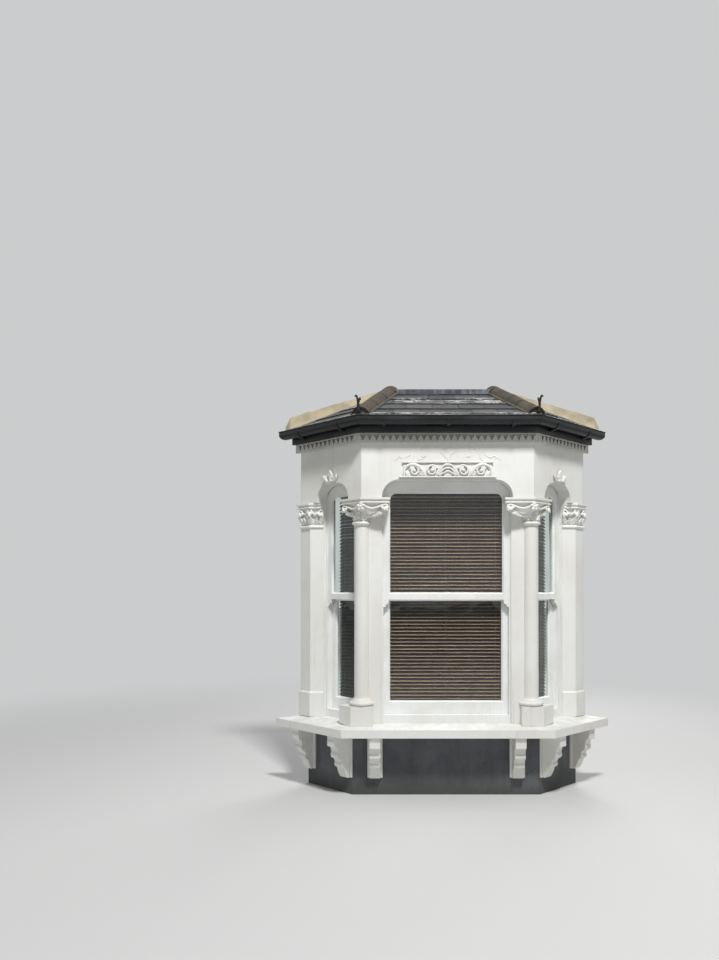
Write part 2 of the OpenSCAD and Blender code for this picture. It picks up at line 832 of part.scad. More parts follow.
module upper_sash(w) difference() {
    translate([0, -upper_face + sash_t, 0]) rotate([90, 0, 0]) linear_extrude(sash_t) {
        difference() {
            translate([-sash_w(w) / 2, meeting_low])
                square([sash_w(w), sash_head - meeting_low]);
            light(light_w(w), upper_low, upper_high, glass_corner_r);
        }
        for (s = [-1, 1]) horn(sash_w(w), s);
    }
    translate([0, upper_glass_y, 0]) pane(light_w(w), upper_low, upper_high);
}

module lower_sash(w) difference() {
    translate([0, -lower_face + sash_t, 0]) rotate([90, 0, 0]) linear_extrude(sash_t) difference() {
        translate([-sash_w(w) / 2, lower_sash_z]) square([sash_w(w), meeting_high - lower_sash_z]);
        translate([-light_w(w) / 2, lower_low]) square([light_w(w), lower_high - lower_low]);
    }
    translate([0, lower_glass_y, 0]) pane(light_w(w), lower_low, lower_high);
}

module panes(w) {
    translate([0, upper_glass_y, 0]) pane(light_w(w), upper_low, upper_high);
    translate([0, lower_glass_y, 0]) pane(light_w(w), lower_low, lower_high);
}

module at_side_window(s) handed(s) at_side(FRIEZE) translate([side_open_mid, 0, 0]) children();

module upper_sash_front() color("white")
    placed() at_front(FRIEZE) upper_sash(front_open_w);
module lower_sash_front() color("white")
    placed() at_front(FRIEZE) lower_sash(front_open_w);
module upper_sashes_side() color("white")
    placed() for (s = [-1, 1]) at_side_window(s) upper_sash(side_open_w);
module lower_sashes_side() color("white")
    placed() for (s = [-1, 1]) at_side_window(s) lower_sash(side_open_w);

module glass_panes() color("lightblue", 0.4)
    placed() {
        at_front(FRIEZE) panes(front_open_w);
        for (s = [-1, 1]) at_side_window(s) panes(side_open_w);
    }

// Cam fastener on the meeting rail of a lower sash
module fastener() translate([0, -lower_face + sash_t / 2, meeting_high]) {
    translate([-30, -9, 0]) cube([60, 18, 4]);
    cylinder(r = 7, h = 16);
    translate([-4, -6, 11]) cube([44, 12, 5]);
}
module sash_fasteners() color("white")
    placed() {
        at_front(FRIEZE) fastener();
        for (s = [-1, 1]) at_side_window(s) fastener();
    }

// Venetian blind with closed slats: head rail, slats that lie on each other, bottom rail
module blind(w) {
    blind_w = w - 2 * box_lining - 20;
    rail_h = 34;
    low = lower_sash_z + 24;
    top = sash_head + 16;
    lean = slat_w * cos(slat_tilt);
    count = floor((top - rail_h - low) / slat_pitch);
    slats_top = low + count * slat_pitch;
    translate([0, -box_back, 0]) {
        translate([-blind_w / 2, 0, slats_top]) cube([blind_w, 2 * rail_h / 3, top - slats_top]);
        translate([-blind_w / 2, 3, low - 12]) cube([blind_w, 18, 12]);
        translate([0, lean + 4, 0]) drawn(-blind_w / 2, blind_w / 2) polygon(concat(
            [[-slat_t, low]],
            [for (i = [0 : count - 1]) each [
                [lean, low + i * slat_pitch], [0, low + (i + 1) * slat_pitch]
            ]],
            [[-slat_t, slats_top]]
        ));
    }
}
module blinds() color("sienna")
    placed() {
        at_front(FRIEZE) blind(front_open_w);
        for (s = [-1, 1]) at_side_window(s) translate([-side_blind_trim / 2, 0, 0])
            blind(side_open_w - side_blind_trim);
    }

// Roof

fillet_end = wall_x(EAVES, -gutter_w / 2);
fillet_fall = atan((ridge_h + fillet_head - drip_h - fillet_h) / (fillet_end - ridge_w / 2));
rafter_pitch = 300;
joist_h = 75;
ledger_t = 40;
gutter_drop = 16;
gutter_below = 84;
hip_start = 40;
slate_edge = -gutter_w / 2;
fascia_face = -gutter_w;
fascia_inside = fascia_face - fascia_t;

// Slopes of the roof: the drip line lies over the gutter
front_run_len = EAVES.y + slate_edge;
front_pitch = atan(roof_rise / front_run_len);
side_run_len = (wall_x(EAVES, slate_edge) - ridge_w / 2) * sin(cant_angle);
side_pitch = atan(roof_rise / side_run_len);

// Half space below the top of a slope, lowered by depth square to it
module below_front(depth)
    translate([0, -front_run_len, drip_h]) rotate([front_pitch, 0, 0])
        translate([-reach, -reach, -2 * high - depth]) cube([2 * reach, 2 * reach, 2 * high]);
module below_side(depth)
    translate([wall_x(EAVES, slate_edge), 0, drip_h]) rotate([0, 0, cant_angle])
        rotate([side_pitch, 0, 0])
            translate([-reach, -reach, -2 * high - depth]) cube([2 * reach, 2 * reach, 2 * high]);

// Everything below the whole roof at a depth
module below_roof(depth) intersection() {
    below_front(depth);
    below_side(depth);
    mirror([1, 0, 0]) below_side(depth);
}

hip_foot = corner(EAVES, slate_edge);
module front_slope_plan() polygon([
    flip(hip_foot), hip_foot, [ridge_w / 2, 0], [-ridge_w / 2, 0]
]);
module side_slope_plan() polygon([hip_foot, wall_point(EAVES, slate_edge), [ridge_w / 2, 0]]);

module roof_front() color("dimgray")
    placed() difference() {
        intersection() {
            slab(0, high) front_slope_plan();
            below_front(0);
        }
        below_front(slope_t);
    }

module roof_side(s) color("dimgray")
    placed() handed(s) difference() {
        intersection() {
            slab(0, high) side_slope_plan();
            below_side(0);
        }
        below_side(slope_t);
    }

module fascia() color("black")
    placed() {
        slab(cornice_top, soffit_t) ring_plan(EAVES, fascia_inside, FRIEZE, -cornice_seat);
        intersection() {
            slab(cornice_top, high) ring_plan(EAVES, fascia_face, EAVES, fascia_inside);
            below_roof(slope_t);
        }
    }

// Sections of the gutter about the middle of its round: outside, and the trough
gutter_r = gutter_w / 2;
gutter_z = drip_h - gutter_below + gutter_r;
module gutter_section() translate([-gutter_r, gutter_z]) difference() {
    union() {
        circle(gutter_r);
        translate([-gutter_r, 0]) square([gutter_w, gutter_h - gutter_r]);
    }
    translate([-gutter_w, gutter_h - gutter_r - gutter_drop]) square([gutter_w, gutter_h]);
}
module gutter_trough() translate([-gutter_r, gutter_z]) {
    circle(gutter_r - gutter_t);
    translate([gutter_t - gutter_r, 0]) square([gutter_w - 2 * gutter_t, gutter_h]);
}

module gutter_front() color("black")
    placed() difference() {
        front_run(EAVES) gutter_section();
        at_front(EAVES) drawn(-reach, reach) gutter_trough();
    }

// The side gutters end in a stop at the wall, lower where the slates reach over it
module gutter_side(s) color("black")
    placed() handed(s) difference() {
        side_run(EAVES) gutter_section();
        intersection() {
            at_side(EAVES) drawn(-reach, reach) gutter_trough();
            union() {
                translate([-reach, -reach - gutter_t, 0]) cube([2 * reach, reach, high]);
                at_side(EAVES) translate([-reach, gutter_r, gutter_z]) cube([2 * reach, reach, high]);
            }
        }
    }

// Bracket: a strap under the gutter with a gusset on the fascia
module gutter_bracket() drawn(-bracket_w / 2, bracket_w / 2) translate([-gutter_r, gutter_z])
    difference() {
        union() {
            circle(gutter_r + bracket_t);
            polygon([[-gutter_r, 0], [0, -gutter_r - bracket_t], [-gutter_r, -gutter_r - 3 * bracket_t]]);
        }
        circle(gutter_r);
        translate([-2 * gutter_r, 0]) square(4 * gutter_r);
        translate([-3 * gutter_r, -2 * gutter_w]) square([2 * gutter_r, 4 * gutter_w]);
    }
module gutter_brackets() color("black")
    placed() {
        for (x = [-1 : 1]) at_front(EAVES) translate([x * EAVES.x * 0.7, 0, 0]) gutter_bracket();
        for (s = [-1, 1]) handed(s) at_side(EAVES)
            for (t = [0.25, 0.75]) translate([t * side_length(EAVES), 0, 0]) gutter_bracket();
    }

// Rafters of the front slope, jack rafters of the sides and the hip rafters
module rafter_plan() {
    for (x = [-1.5 : 1 : 1.5]) translate([x * rafter_pitch - rafter_t / 2, -EAVES.y - fascia_inside])
        square([rafter_t, EAVES.y + fascia_inside]);
    for (s = [0, 1]) mirror([s, 0]) intersection() {
        inside_plan(EAVES, fascia_inside);
        union() {
            intersection() {
                side_slope_plan();
                translate([EAVES.x, -EAVES.y]) rotate(cant_angle)
                    for (t = [0.5 : 1 : 2.5]) translate([t * rafter_pitch, 0]) square([rafter_t, EAVES.y]);
            }
            translate(hip_foot) rotate(atan2(-hip_foot.y, ridge_w / 2 - hip_foot.x))
                translate([0, -rafter_t / 2]) square([reach, rafter_t]);
        }
    }
}

module rafters() color("peru")
    placed() difference() {
        intersection() {
            slab(soffit_top, high) {
                rafter_plan();
                translate([-ridge_w / 2, -ledger_t]) square([ridge_w, ledger_t]);
            }
            below_roof(slope_t);
        }
        below_roof(slope_t + rafter_d);
    }

// Plates on the frieze behind the cornice, up to the underside of the rafters
plate_out = -cornice_seat;
plate_in = -cornice_seat - plate_w;
module wall_plate_front() color("burlywood")
    placed() intersection() {
        slab(cornice_h, high) front_plan(FRIEZE, plate_out, FRIEZE, plate_in);
        below_roof(slope_t + rafter_d);
    }
module wall_plate_side(s) color("burlywood")
    placed() handed(s) intersection() {
        slab(cornice_h, high) side_plan(FRIEZE, plate_out, FRIEZE, plate_in);
        below_roof(slope_t + rafter_d);
    }

// Ceiling joists between the front plate and a ledger on the wall
module joists() color("sandybrown")
    placed() slab(cornice_h, joist_h) intersection() {
        inside_plan(FRIEZE, plate_in);
        union() {
            for (x = [-1.5 : 1 : 1.5]) translate([x * rafter_pitch - rafter_t / 2, -reach])
                square([rafter_t, reach]);
            translate([-reach, -ledger_t]) square([2 * reach, ledger_t]);
        }
    }

module ceiling() color("ivory")
    placed() slab(cornice_h - ceiling_t, ceiling_t) inside_plan(FRIEZE, wall_inside);

// Half round hip tiles bedded along each hip
module hip_frame() {
    head = [ridge_w / 2, 0, ridge_h];
    foot = [hip_foot.x, hip_foot.y, drip_h];
    run = norm([head.x - foot.x, head.y - foot.y]);
    translate(foot) rotate([0, 0, atan2(head.y - foot.y, head.x - foot.x)])
        rotate([0, -atan2(head.z - foot.z, run), 0]) children();
}
hip_sink = 36;
hip_len = norm([ridge_w / 2 - hip_foot.x, -hip_foot.y, roof_rise]);

// A stretch of a hip of radius r, from a distance up the hip and of length len
module hip_round(from, r, len) hip_frame() translate([from, 0, -hip_sink])
    rotate([0, 90, 0]) cylinder(r = r, h = len);
// All that the tiles of a hip fill
module hip_hollow() hip_round(hip_start, hip_tile_r, hip_len + 100);

module hip_tiles() color("sienna")
    placed() for (s = [-1, 1]) handed(s) difference() {
        union() {
            hip_round(hip_start, hip_tile_r - hip_joint, hip_len + 100);
            for (i = [0 : ceil(hip_len / hip_tile_len)])
                hip_round(hip_start + i * hip_tile_len, hip_tile_r, hip_tile_len - 2 * hip_joint);
        }
        behind_wall();
        below_roof(0);
        hip_iron();
    }

// Hip iron: a strap up the hip, turned up before the lowest tile, with a curl
module hip_iron() {
    curl_r = 17;
    iron_t = 6;
    translate([hip_foot.x, hip_foot.y, drip_h]) rotate([0, 0, atan2(-hip_foot.y, ridge_w / 2 - hip_foot.x)])
        rotate([90, 0, 0]) translate([0, 0, -iron_w / 2]) linear_extrude(iron_w) {
            translate([2, -4]) square([iron_t, iron_h + 4 - curl_r]);
            translate([2 + iron_t - curl_r, iron_h - curl_r]) difference() {
                circle(curl_r);
                circle(curl_r - iron_t);
                translate([-curl_r, -curl_r]) square([curl_r + 3, curl_r - 5]);
            }
        }
    hip_frame() translate([2, -iron_w / 2, 0]) cube([iron_h / 2, iron_w, iron_t]);
}

module hip_irons() color("black")
    placed() for (s = [-1, 1]) handed(s) difference() {
        hip_iron();
        below_roof(0);
    }

module ridge_flashing() color("gray")
    placed() difference() {
        translate([-ridge_w / 2, -flashing_w, ridge_h - flashing_w])
            cube([ridge_w, flashing_w, flashing_w + flashing_t]);
        below_roof(0);
        hip_hollow();
        mirror([1, 0, 0]) hip_hollow();
    }

// The top edge of a fillet runs straight from the ridge down to the gutter
module cement_fillets() color("tan")
    placed() for (s = [-1, 1]) handed(s) difference() {
        intersection() {
            translate([ridge_w / 2, 0, ridge_h + fillet_head]) rotate([0, fillet_fall, 0])
                rotate([90, 0, 90]) linear_extrude(reach)
                    polygon([[0, 0], [-fillet_w, -fillet_h], [-fillet_w, -2 * fillet_h], [0, -3 * fillet_h]]);
            slab(0, high) polygon([
                [ridge_w / 2, 0], [fillet_end, 0], [fillet_end, -reach], [ridge_w / 2, -reach]
            ]);
            slab(0, high) side_slope_plan();
        }
        below_roof(0);
        hip_hollow();
    }

oversite();
floor_boards();
apron_front();
apron_side(-1);  // apron_left
apron_side(1);  // apron_right
consoles();
sill_front();
sill_side(-1);  // sill_left
sill_side(1);  // sill_right
window_boards();
pier(-1);  // pier_left
pier(1);  // pier_right
column_plinths();
column(-1);  // column_left
column(1);  // column_right
column_capital(-1);  // column_capital_left
column_capital(1);  // column_capital_right
pilaster(-1);  // pilaster_left
pilaster(1);  // pilaster_right
pilaster_capitals();
lintel_front();
lintel_side(-1);  // lintel_left
lintel_side(1);  // lintel_right
label_panel();
side_bosses();
cornice_front();
cornice_side(-1);  // cornice_left
cornice_side(1);  // cornice_right
sash_box_front();
sash_boxes_side();
upper_sash_front();
lower_sash_front();
upper_sashes_side();
lower_sashes_side();
glass_panes();
sash_fasteners();
blinds();
ceiling();
joists();
wall_plate_front();
wall_plate_side(-1);  // wall_plate_left
wall_plate_side(1);  // wall_plate_right
rafters();
fascia();
gutter_front();
gutter_side(-1);  // gutter_left
gutter_side(1);  // gutter_right
gutter_brackets();
roof_front();
roof_side(-1);  // roof_left
roof_side(1);  // roof_right
hip_tiles();
hip_irons();
ridge_flashing();
cement_fillets();
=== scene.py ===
"""Looks of a canted bay window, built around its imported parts.

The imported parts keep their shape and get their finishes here. Added are the pieces that are
carved, laid or hung: capitals, carved panel, slates, putty and blinds. Metres throughout, with
x along the house wall, y into the house and z up, as in the part.
"""
import json
import random
from math import acos, asin, ceil, cos, exp, hypot, pi, radians, sin, sqrt, tan

import bmesh
import bpy
from mathutils import Matrix, Vector


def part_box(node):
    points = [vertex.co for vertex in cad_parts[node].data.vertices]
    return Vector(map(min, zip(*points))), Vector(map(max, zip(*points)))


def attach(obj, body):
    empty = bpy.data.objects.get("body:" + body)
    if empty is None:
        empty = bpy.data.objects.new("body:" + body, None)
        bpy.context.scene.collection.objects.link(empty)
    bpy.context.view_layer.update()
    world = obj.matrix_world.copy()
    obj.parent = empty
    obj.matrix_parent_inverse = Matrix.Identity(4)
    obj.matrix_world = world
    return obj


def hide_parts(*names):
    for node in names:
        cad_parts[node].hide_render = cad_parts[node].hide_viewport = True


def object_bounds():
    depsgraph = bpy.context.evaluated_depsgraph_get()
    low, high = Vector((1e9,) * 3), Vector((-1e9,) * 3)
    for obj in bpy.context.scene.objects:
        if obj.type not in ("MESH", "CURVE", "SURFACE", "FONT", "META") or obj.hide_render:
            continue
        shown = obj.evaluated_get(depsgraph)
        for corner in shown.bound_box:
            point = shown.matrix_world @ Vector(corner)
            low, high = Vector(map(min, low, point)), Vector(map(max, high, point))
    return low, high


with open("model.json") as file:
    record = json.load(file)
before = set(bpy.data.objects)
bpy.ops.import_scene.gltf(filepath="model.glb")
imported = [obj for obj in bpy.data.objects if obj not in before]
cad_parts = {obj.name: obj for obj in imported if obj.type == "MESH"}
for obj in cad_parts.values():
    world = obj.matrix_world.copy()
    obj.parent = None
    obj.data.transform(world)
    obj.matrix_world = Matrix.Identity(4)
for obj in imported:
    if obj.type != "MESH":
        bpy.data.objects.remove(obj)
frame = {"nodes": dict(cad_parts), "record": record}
nodes = frame["nodes"]
cad_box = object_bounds()


# Places taken from the frame

def farthest(node, *direction):
    """The corner of a node that lies farthest in a direction."""
    way = Vector(direction)
    return max((v.co for v in nodes[node].data.vertices), key=way.dot).copy()


def at(*point):
    return Matrix.Translation(point)


def turned_by(degrees, axis):
    return Matrix.Rotation(radians(degrees), 4, axis)


def axes_at(origin, x, y, z):
    """Frame at a point, from the directions of its axes."""
    return Matrix.Translation(origin) @ Matrix((x, y, z)).transposed().to_4x4()


CANT = radians(45)
MIRROR = Matrix.Scale(-1, 4, (1, 0, 0))
INTO, UP = Vector((0, 1, 0)), Vector((0, 0, 1))
lintel_low, lintel_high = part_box("lintel_front")
FRIEZE_X, FRIEZE_Y, SPRING_Z = lintel_high.x, lintel_low.y, lintel_low.z
WALL_X, WALL_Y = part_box("lintel_right")[1].x, cad_box[1].y
WALL = (Vector((0, WALL_Y, 0)), INTO)
SILL_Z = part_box("sill_front")[1].z
CAPITAL_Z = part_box("column_capital_right")[0].z

# Sizes of the part's source, in metres
HEAD_Z = SPRING_Z + 0.142
ABACUS_T = 0.045
ABACUS_Z = SPRING_Z - ABACUS_T
CAPITAL_H = ABACUS_Z - CAPITAL_Z
COLUMN_X, COLUMN_Y = 0.681, WALL_Y - 0.412
SHAFT_R, BELL_R = 0.061, 0.105
ABACUS_W, ABACUS_LIP, PIER_SETBACK = 0.236, 0.014, 0.095
PILASTER_Y, PILASTER_W = 0.086, 0.113
FRONT_OPEN_W, SIDE_OPEN_W, SIDE_OPEN_MID = 1.036, 0.3914, 0.3467
LABEL_W, LABEL_D, LABEL_T, LABEL_GAP = 0.772, 0.026, 0.022, 0.002
PANEL_W, PANEL_H, BOSS_W = 0.700, 0.104, 0.120
PANEL_Z = HEAD_Z + LABEL_GAP + LABEL_T
BOX_LINING, STILE_W, TOP_RAIL, BOTTOM_RAIL, MEETING_RAIL = 0.012, 0.043, 0.087, 0.095, 0.045
BOX_SILL, MEETING_H, GLASS_CORNER = 0.066, 1.016, 0.060
UPPER_FACE, LOWER_FACE, SASH_T, GLASS_T = 0.118, 0.164, 0.038, 0.004
SASH_GAP, SLAT_PITCH, SLATE_ROOM = 0.002, 0.029, 0.036
FILLET_D, FILLET_H, FILLET_HEAD = 0.075, 0.104, 0.040
HIP_START, HIP_LEN, HIP_SINK = 0.040, 0.230, 0.036

# Sizes of what is only modelled here, in metres
WALL_FLARE = 0.021
SUNK = 0.004  # how deep what is laid on the frieze goes into it
BLIND_Y, SLAT_W, SLAT_TILT = 0.222, 0.038, radians(50)
HEAD_RAIL, CORD_R, BLIND_PLAY, BLIND_SHIFT = 0.034, 0.0011, 0.020, 0.020
SLATE_W, SLATE_GAUGE, SLATE_T, GAP = 0.205, 0.158, 0.006, 0.003
SLATE_LIFT, SLATE_LAP, UNDER_LIFT, SLATE_FALL = 0.0015, 0.030, -0.0055, 0.0085
BOARD_FOOT, BOARD_W, BOARD_SPARE = 0.022, 0.138, 0.2
BOARD_Z, UNDERLAY_Z, UNDERLAY_T = -0.0172, -0.015, 0.002
HIP_R, HIP_T, HIP_JOINT, HIP_SPARE = 0.082, 0.013, 0.009, 0.10


def face_frame(side):
    """Frame of a face of the bay: x along it, -y outwards. -1 is left, 0 front, 1 right."""
    if side == 0:
        return at(0, FRIEZE_Y, 0)
    right = at(FRIEZE_X, FRIEZE_Y, 0) @ Matrix.Rotation(CANT, 4, "Z")
    return right if side > 0 else MIRROR @ right


def window_frame(side):
    """Frame of the window of a face, with x from the middle of its opening."""
    return face_frame(side) @ at(abs(side) * SIDE_OPEN_MID, 0, 0)


# Camera and studio

PHOTO_W, PHOTO_H = 719, 960
FOCAL_PX = 776
PRINCIPAL_PX = (378, 588)
SENSOR = 36
BACKGROUND = (0.60, 0.605, 0.61, 1)
SKY, SKY_STRENGTH = (0.96, 0.98, 1, 1), 0.30
EYE = (-0.55, WALL_Y - 6.66, 1.67)


def added(name, data):
    """A new object in the scene."""
    thing = bpy.data.objects.new(name, data)
    bpy.context.scene.collection.objects.link(thing)
    return thing


def add_camera():
    data = bpy.data.cameras.new("camera")
    data.sensor_fit = "VERTICAL"
    data.sensor_height = SENSOR
    data.lens = SENSOR * FOCAL_PX / PHOTO_H
    data.shift_x = (PHOTO_W / 2 - PRINCIPAL_PX[0]) / PHOTO_H
    data.shift_y = (PRINCIPAL_PX[1] - PHOTO_H / 2) / PHOTO_H
    camera = added("camera", data)
    camera.location = EYE
    camera.rotation_euler = (radians(90), 0, 0)
    bpy.context.scene.camera = camera


def add_lamp(name, place, target, size, power):
    data = bpy.data.lights.new(name, "AREA")
    data.shape = "RECTANGLE"
    data.size, data.size_y = size
    data.energy = power
    lamp = added(name, data)
    lamp.location = place
    lamp.rotation_euler = (Vector(target) - Vector(place)).to_track_quat("-Z", "Y").to_euler()


def add_world():
    """Even light from all round, with a pale background where the sky itself is seen."""
    world = bpy.data.worlds.new("studio")
    bpy.context.scene.world = world
    tree = Tree(world)
    tree.nodes.clear()
    rays = tree.add("LightPath").outputs
    through = tree.math("MAXIMUM", rays["Is Glossy Ray"], rays["Is Transmission Ray"])
    seen = tree.math("MAXIMUM", rays["Is Camera Ray"], through)
    light = tree.add("Background", {"Color": SKY, "Strength": SKY_STRENGTH})
    backdrop = tree.add("Background", {"Color": BACKGROUND})
    tree.add("OutputWorld", {"Surface": tree.mixed(seen, light, backdrop)})


def add_floor(near=3.0, far=9.0, reach=60.0):
    """Pale floor that keeps the shadow near the object and fades into the background."""
    bpy.ops.mesh.primitive_circle_add(vertices=64, radius=reach, fill_type="NGON")
    floor = bpy.context.object
    floor.name = "floor"
    finish = Finish("floor", roughness=0.9)
    distance = finish.add("VectorMath", {0: finish.place}, operation="LENGTH").outputs["Value"]
    finish.colour((0.62, 0.62, 0.61, 1))
    glow = finish.add("Emission", {"Color": BACKGROUND})
    path = finish.add("LightPath")
    fade = finish.times(finish.fade(distance, near, far), path.outputs["Is Camera Ray"])
    finish.surface(finish.mixed(fade, finish.shader, glow))
    floor.data.materials.append(finish.material)


# Finishes

def srgb(code):
    """A web colour, as it looks on screen, as the shader's own numbers."""
    def linear(value):
        value /= 255
        return value / 12.92 if value <= 0.04045 else ((value + 0.055) / 1.055) ** 2.4
    return (*(linear(byte) for byte in bytes.fromhex(code)), 1)


class Tree:
    """The nodes of a world or material, added one by one."""

    def __init__(self, owner):
        owner.use_nodes = True
        self.nodes, self.links = owner.node_tree.nodes, owner.node_tree.links

    def add(self, kind, inputs=None, **settings):
        node = self.nodes.new("ShaderNode" + kind)
        for key, value in settings.items():
            setattr(node, key, value)
        for key, value in (inputs or {}).items():
            self.put(node.inputs[key], value)
        return node

    def put(self, socket, value):
        """Links a socket to a node's output, or sets it to a number or a web colour."""
        if isinstance(value, bpy.types.NodeSocket):
            self.links.new(value, socket)
        else:
            socket.default_value = srgb(value) if isinstance(value, str) else value

    def math(self, operation, first, second=0.0):
        return self.add("Math", {0: first, 1: second}, operation=operation).outputs[0]

    def mixed(self, factor, first, second):
        """A mix of the shaders of two nodes."""
        shaders = {0: factor, 1: first.outputs[0], 2: second.outputs[0]}
        return self.add("MixShader", shaders).outputs[0]


class Finish(Tree):
    """A procedural material around its Principled shader."""

    def __init__(self, name, roughness=0.6, metallic=0.0):
        self.material = bpy.data.materials.new(name)
        super().__init__(self.material)
        self.shader = self.nodes["Principled BSDF"]
        self.set("Roughness", roughness)
        self.set("Metallic", metallic)
        self.place = self.add("TexCoord").outputs["Object"]

    def set(self, name, value):
        self.put(self.shader.inputs[name], value)

    def colour(self, value):
        self.set("Base Color", value)

    def roughness(self, value):
        self.set("Roughness", value)

    def surface(self, value):
        self.put(self.nodes["Material Output"].inputs["Surface"], value)

    def noise(self, scale, detail, roughness=0.55, place=None, distortion=0.0):
        inputs = {"Vector": place or self.place, "Scale": scale, "Detail": detail,
                  "Roughness": roughness, "Distortion": distortion}
        return self.add("TexNoise", inputs).outputs[0]

    def streaks(self, x, y, z, detail, roughness, distortion=0.0):
        """Noise drawn out along the axes where x, y and z are small."""
        place = self.add("Mapping", {"Vector": self.place, "Scale": (x, y, z)}).outputs[0]
        return self.noise(1, detail, roughness, place, distortion)

    def cells(self, scale, place=None, feature="F1"):
        inputs = {"Vector": place or self.place, "Scale": scale}
        return self.add("TexVoronoi", inputs, feature=feature).outputs["Distance"]

    def fade(self, value, low, high, start=0.0, end=1.0):
        """start where value is below low, end above high, and smooth between them."""
        inputs = {"Value": value, 1: low, 2: high, 3: start, 4: end}
        return self.add("MapRange", inputs, interpolation_type="SMOOTHSTEP").outputs[0]

    def times(self, first, second):
        return self.math("MULTIPLY", first, second)

    def plus(self, first, second):
        return self.math("ADD", first, second)

    def minus(self, first, second):
        return self.math("SUBTRACT", first, second)

    def mix(self, factor, first, second):
        inputs = {0: factor, 6: first, 7: second}
        return self.add("Mix", inputs, data_type="RGBA").outputs[2]

    def blend(self, pattern, low, high, first, second, most=1.0):
        """first where the pattern is below low, up to most of second where it is above high."""
        return self.mix(self.fade(pattern, low, high, 0, most), first, second)

    def creases(self, reach):
        """1 deep in corners and under ledges, 0 on open surfaces: ambient occlusion, which the
        finishes use to paint shade.
        """
        opened = self.add("AmbientOcclusion", {"Distance": reach}, samples=6).outputs["AO"]
        return self.minus(1.0, opened)

    def patches(self, pattern, low, high, where, start, end):
        """Spots where a pattern is high, in the areas where a broader one is."""
        return self.times(self.fade(pattern, low, high), self.fade(where, start, end))

    def height(self):
        """Metres over the ground."""
        return self.add("SeparateXYZ", {0: self.place}).outputs["Z"]

    def facing_up(self):
        normal = self.add("NewGeometry").outputs["Normal"]
        return self.add("SeparateXYZ", {0: normal}).outputs["Z"]

    def island(self):
        return self.add("NewGeometry").outputs["Random Per Island"]

    def bumps(self, height, depth, edge=0.0):
        """Adds bumps of a real depth in metres and rounded edges, and gives the material."""
        inputs = {"Height": height, "Distance": depth, "Strength": 1.0}
        if edge:
            inputs["Normal"] = self.add("Bevel", {"Radius": edge}, samples=4).outputs[0]
        self.set("Normal", self.add("Bump", inputs).outputs[0])
        return self.material


# The soil grey below stands both for real soil (streaks, dust, cracks, chips, flecks) and for
# painted shade in creases
WHITE, IVORY, SOIL_AND_SHADE = "e9e9e6", "e1dfd8", "7a7871"


def masonry_paint(name, colour, aged, soiling_and_shade):
    """Brushed paint on stone and render: painted shade in creases, rain streaks, hairline cracks,
    chips.
    """
    f = Finish(name, roughness=0.62)
    broad = f.noise(1.4, 4)
    blotch = f.noise(9, 5, 0.6)
    grain = f.noise(130, 3, 0.6)
    base = f.blend(broad, 0.38, 0.66, colour, aged)
    base = f.blend(blotch, 0.45, 0.75, base, aged, 0.35)
    streak = f.streaks(26, 26, 1.3, 4, 0.6)
    streak = f.times(f.fade(streak, 0.56, 0.80, 0, 0.32 * soiling_and_shade), f.fade(broad, 0.3, 0.6))
    base = f.mix(streak, base, SOIL_AND_SHADE)
    # painted shade: ambient occlusion darkens corners and the undersides of ledges
    painted_crease_shade = f.fade(f.creases(0.030), 0.30, 0.90, 0, 0.50 * soiling_and_shade)
    base = f.mix(f.times(painted_crease_shade, f.fade(blotch, 0.2, 0.6, 0.4, 1)), base, SOIL_AND_SHADE)
    dust = f.times(f.fade(f.facing_up(), 0.5, 0.95), f.fade(blotch, 0.3, 0.7, 0.05, 0.3))
    base = f.mix(f.times(dust, soiling_and_shade), base, SOIL_AND_SHADE)
    sway = f.add("TexNoise", {"Vector": f.place, "Scale": 5.0}).outputs[1]
    sway = f.add("VectorMath", {0: sway, "Scale": 0.12}, operation="SCALE").outputs[0]
    wavy = f.add("VectorMath", {0: f.place, 1: sway}, operation="ADD").outputs[0]
    crack = f.cells(2.6, wavy, "DISTANCE_TO_EDGE")
    crack = f.times(f.fade(crack, 0.002, 0.007, 1, 0), f.fade(broad, 0.56, 0.64))
    chip = f.patches(f.noise(34, 4, 0.7), 0.70, 0.72, blotch, 0.55, 0.65)
    base = f.mix(f.times(crack, 0.08), base, SOIL_AND_SHADE)
    base = f.mix(f.times(chip, 0.3), base, SOIL_AND_SHADE)
    f.colour(base)
    f.roughness(f.fade(blotch, 0.3, 0.7, 0.5, 0.72))
    paint = f.plus(f.times(grain, 0.25), f.times(blotch, 0.9))
    paint = f.minus(paint, f.plus(f.times(crack, 0.08), f.times(chip, 0.5)))
    return f.bumps(paint, 0.0016, edge=0.004)


def gloss_joinery(name, colour, aged, roughness=0.24):
    """Gloss paint brushed along timber, with worn flecks, and painted shade in its joints and
    corners.
    """
    f = Finish(name)
    brush = f.streaks(160, 160, 7, 3, 0.6)
    broad = f.noise(3.2, 4)
    base = f.blend(broad, 0.4, 0.7, colour, aged)
    # painted shade: ambient occlusion darkens joints and corners
    painted_crease_shade = f.fade(f.creases(0.015), 0.3, 0.9, 0, 0.5)
    base = f.mix(painted_crease_shade, base, SOIL_AND_SHADE)
    fleck = f.patches(f.noise(70, 4, 0.7), 0.70, 0.73, broad, 0.5, 0.6)
    base = f.mix(f.times(fleck, 0.6), base, SOIL_AND_SHADE)
    f.colour(base)
    f.roughness(f.fade(brush, 0.3, 0.7, roughness, roughness + 0.14))
    return f.bumps(f.minus(brush, f.times(fleck, 0.8)), 0.0002, edge=0.0016)


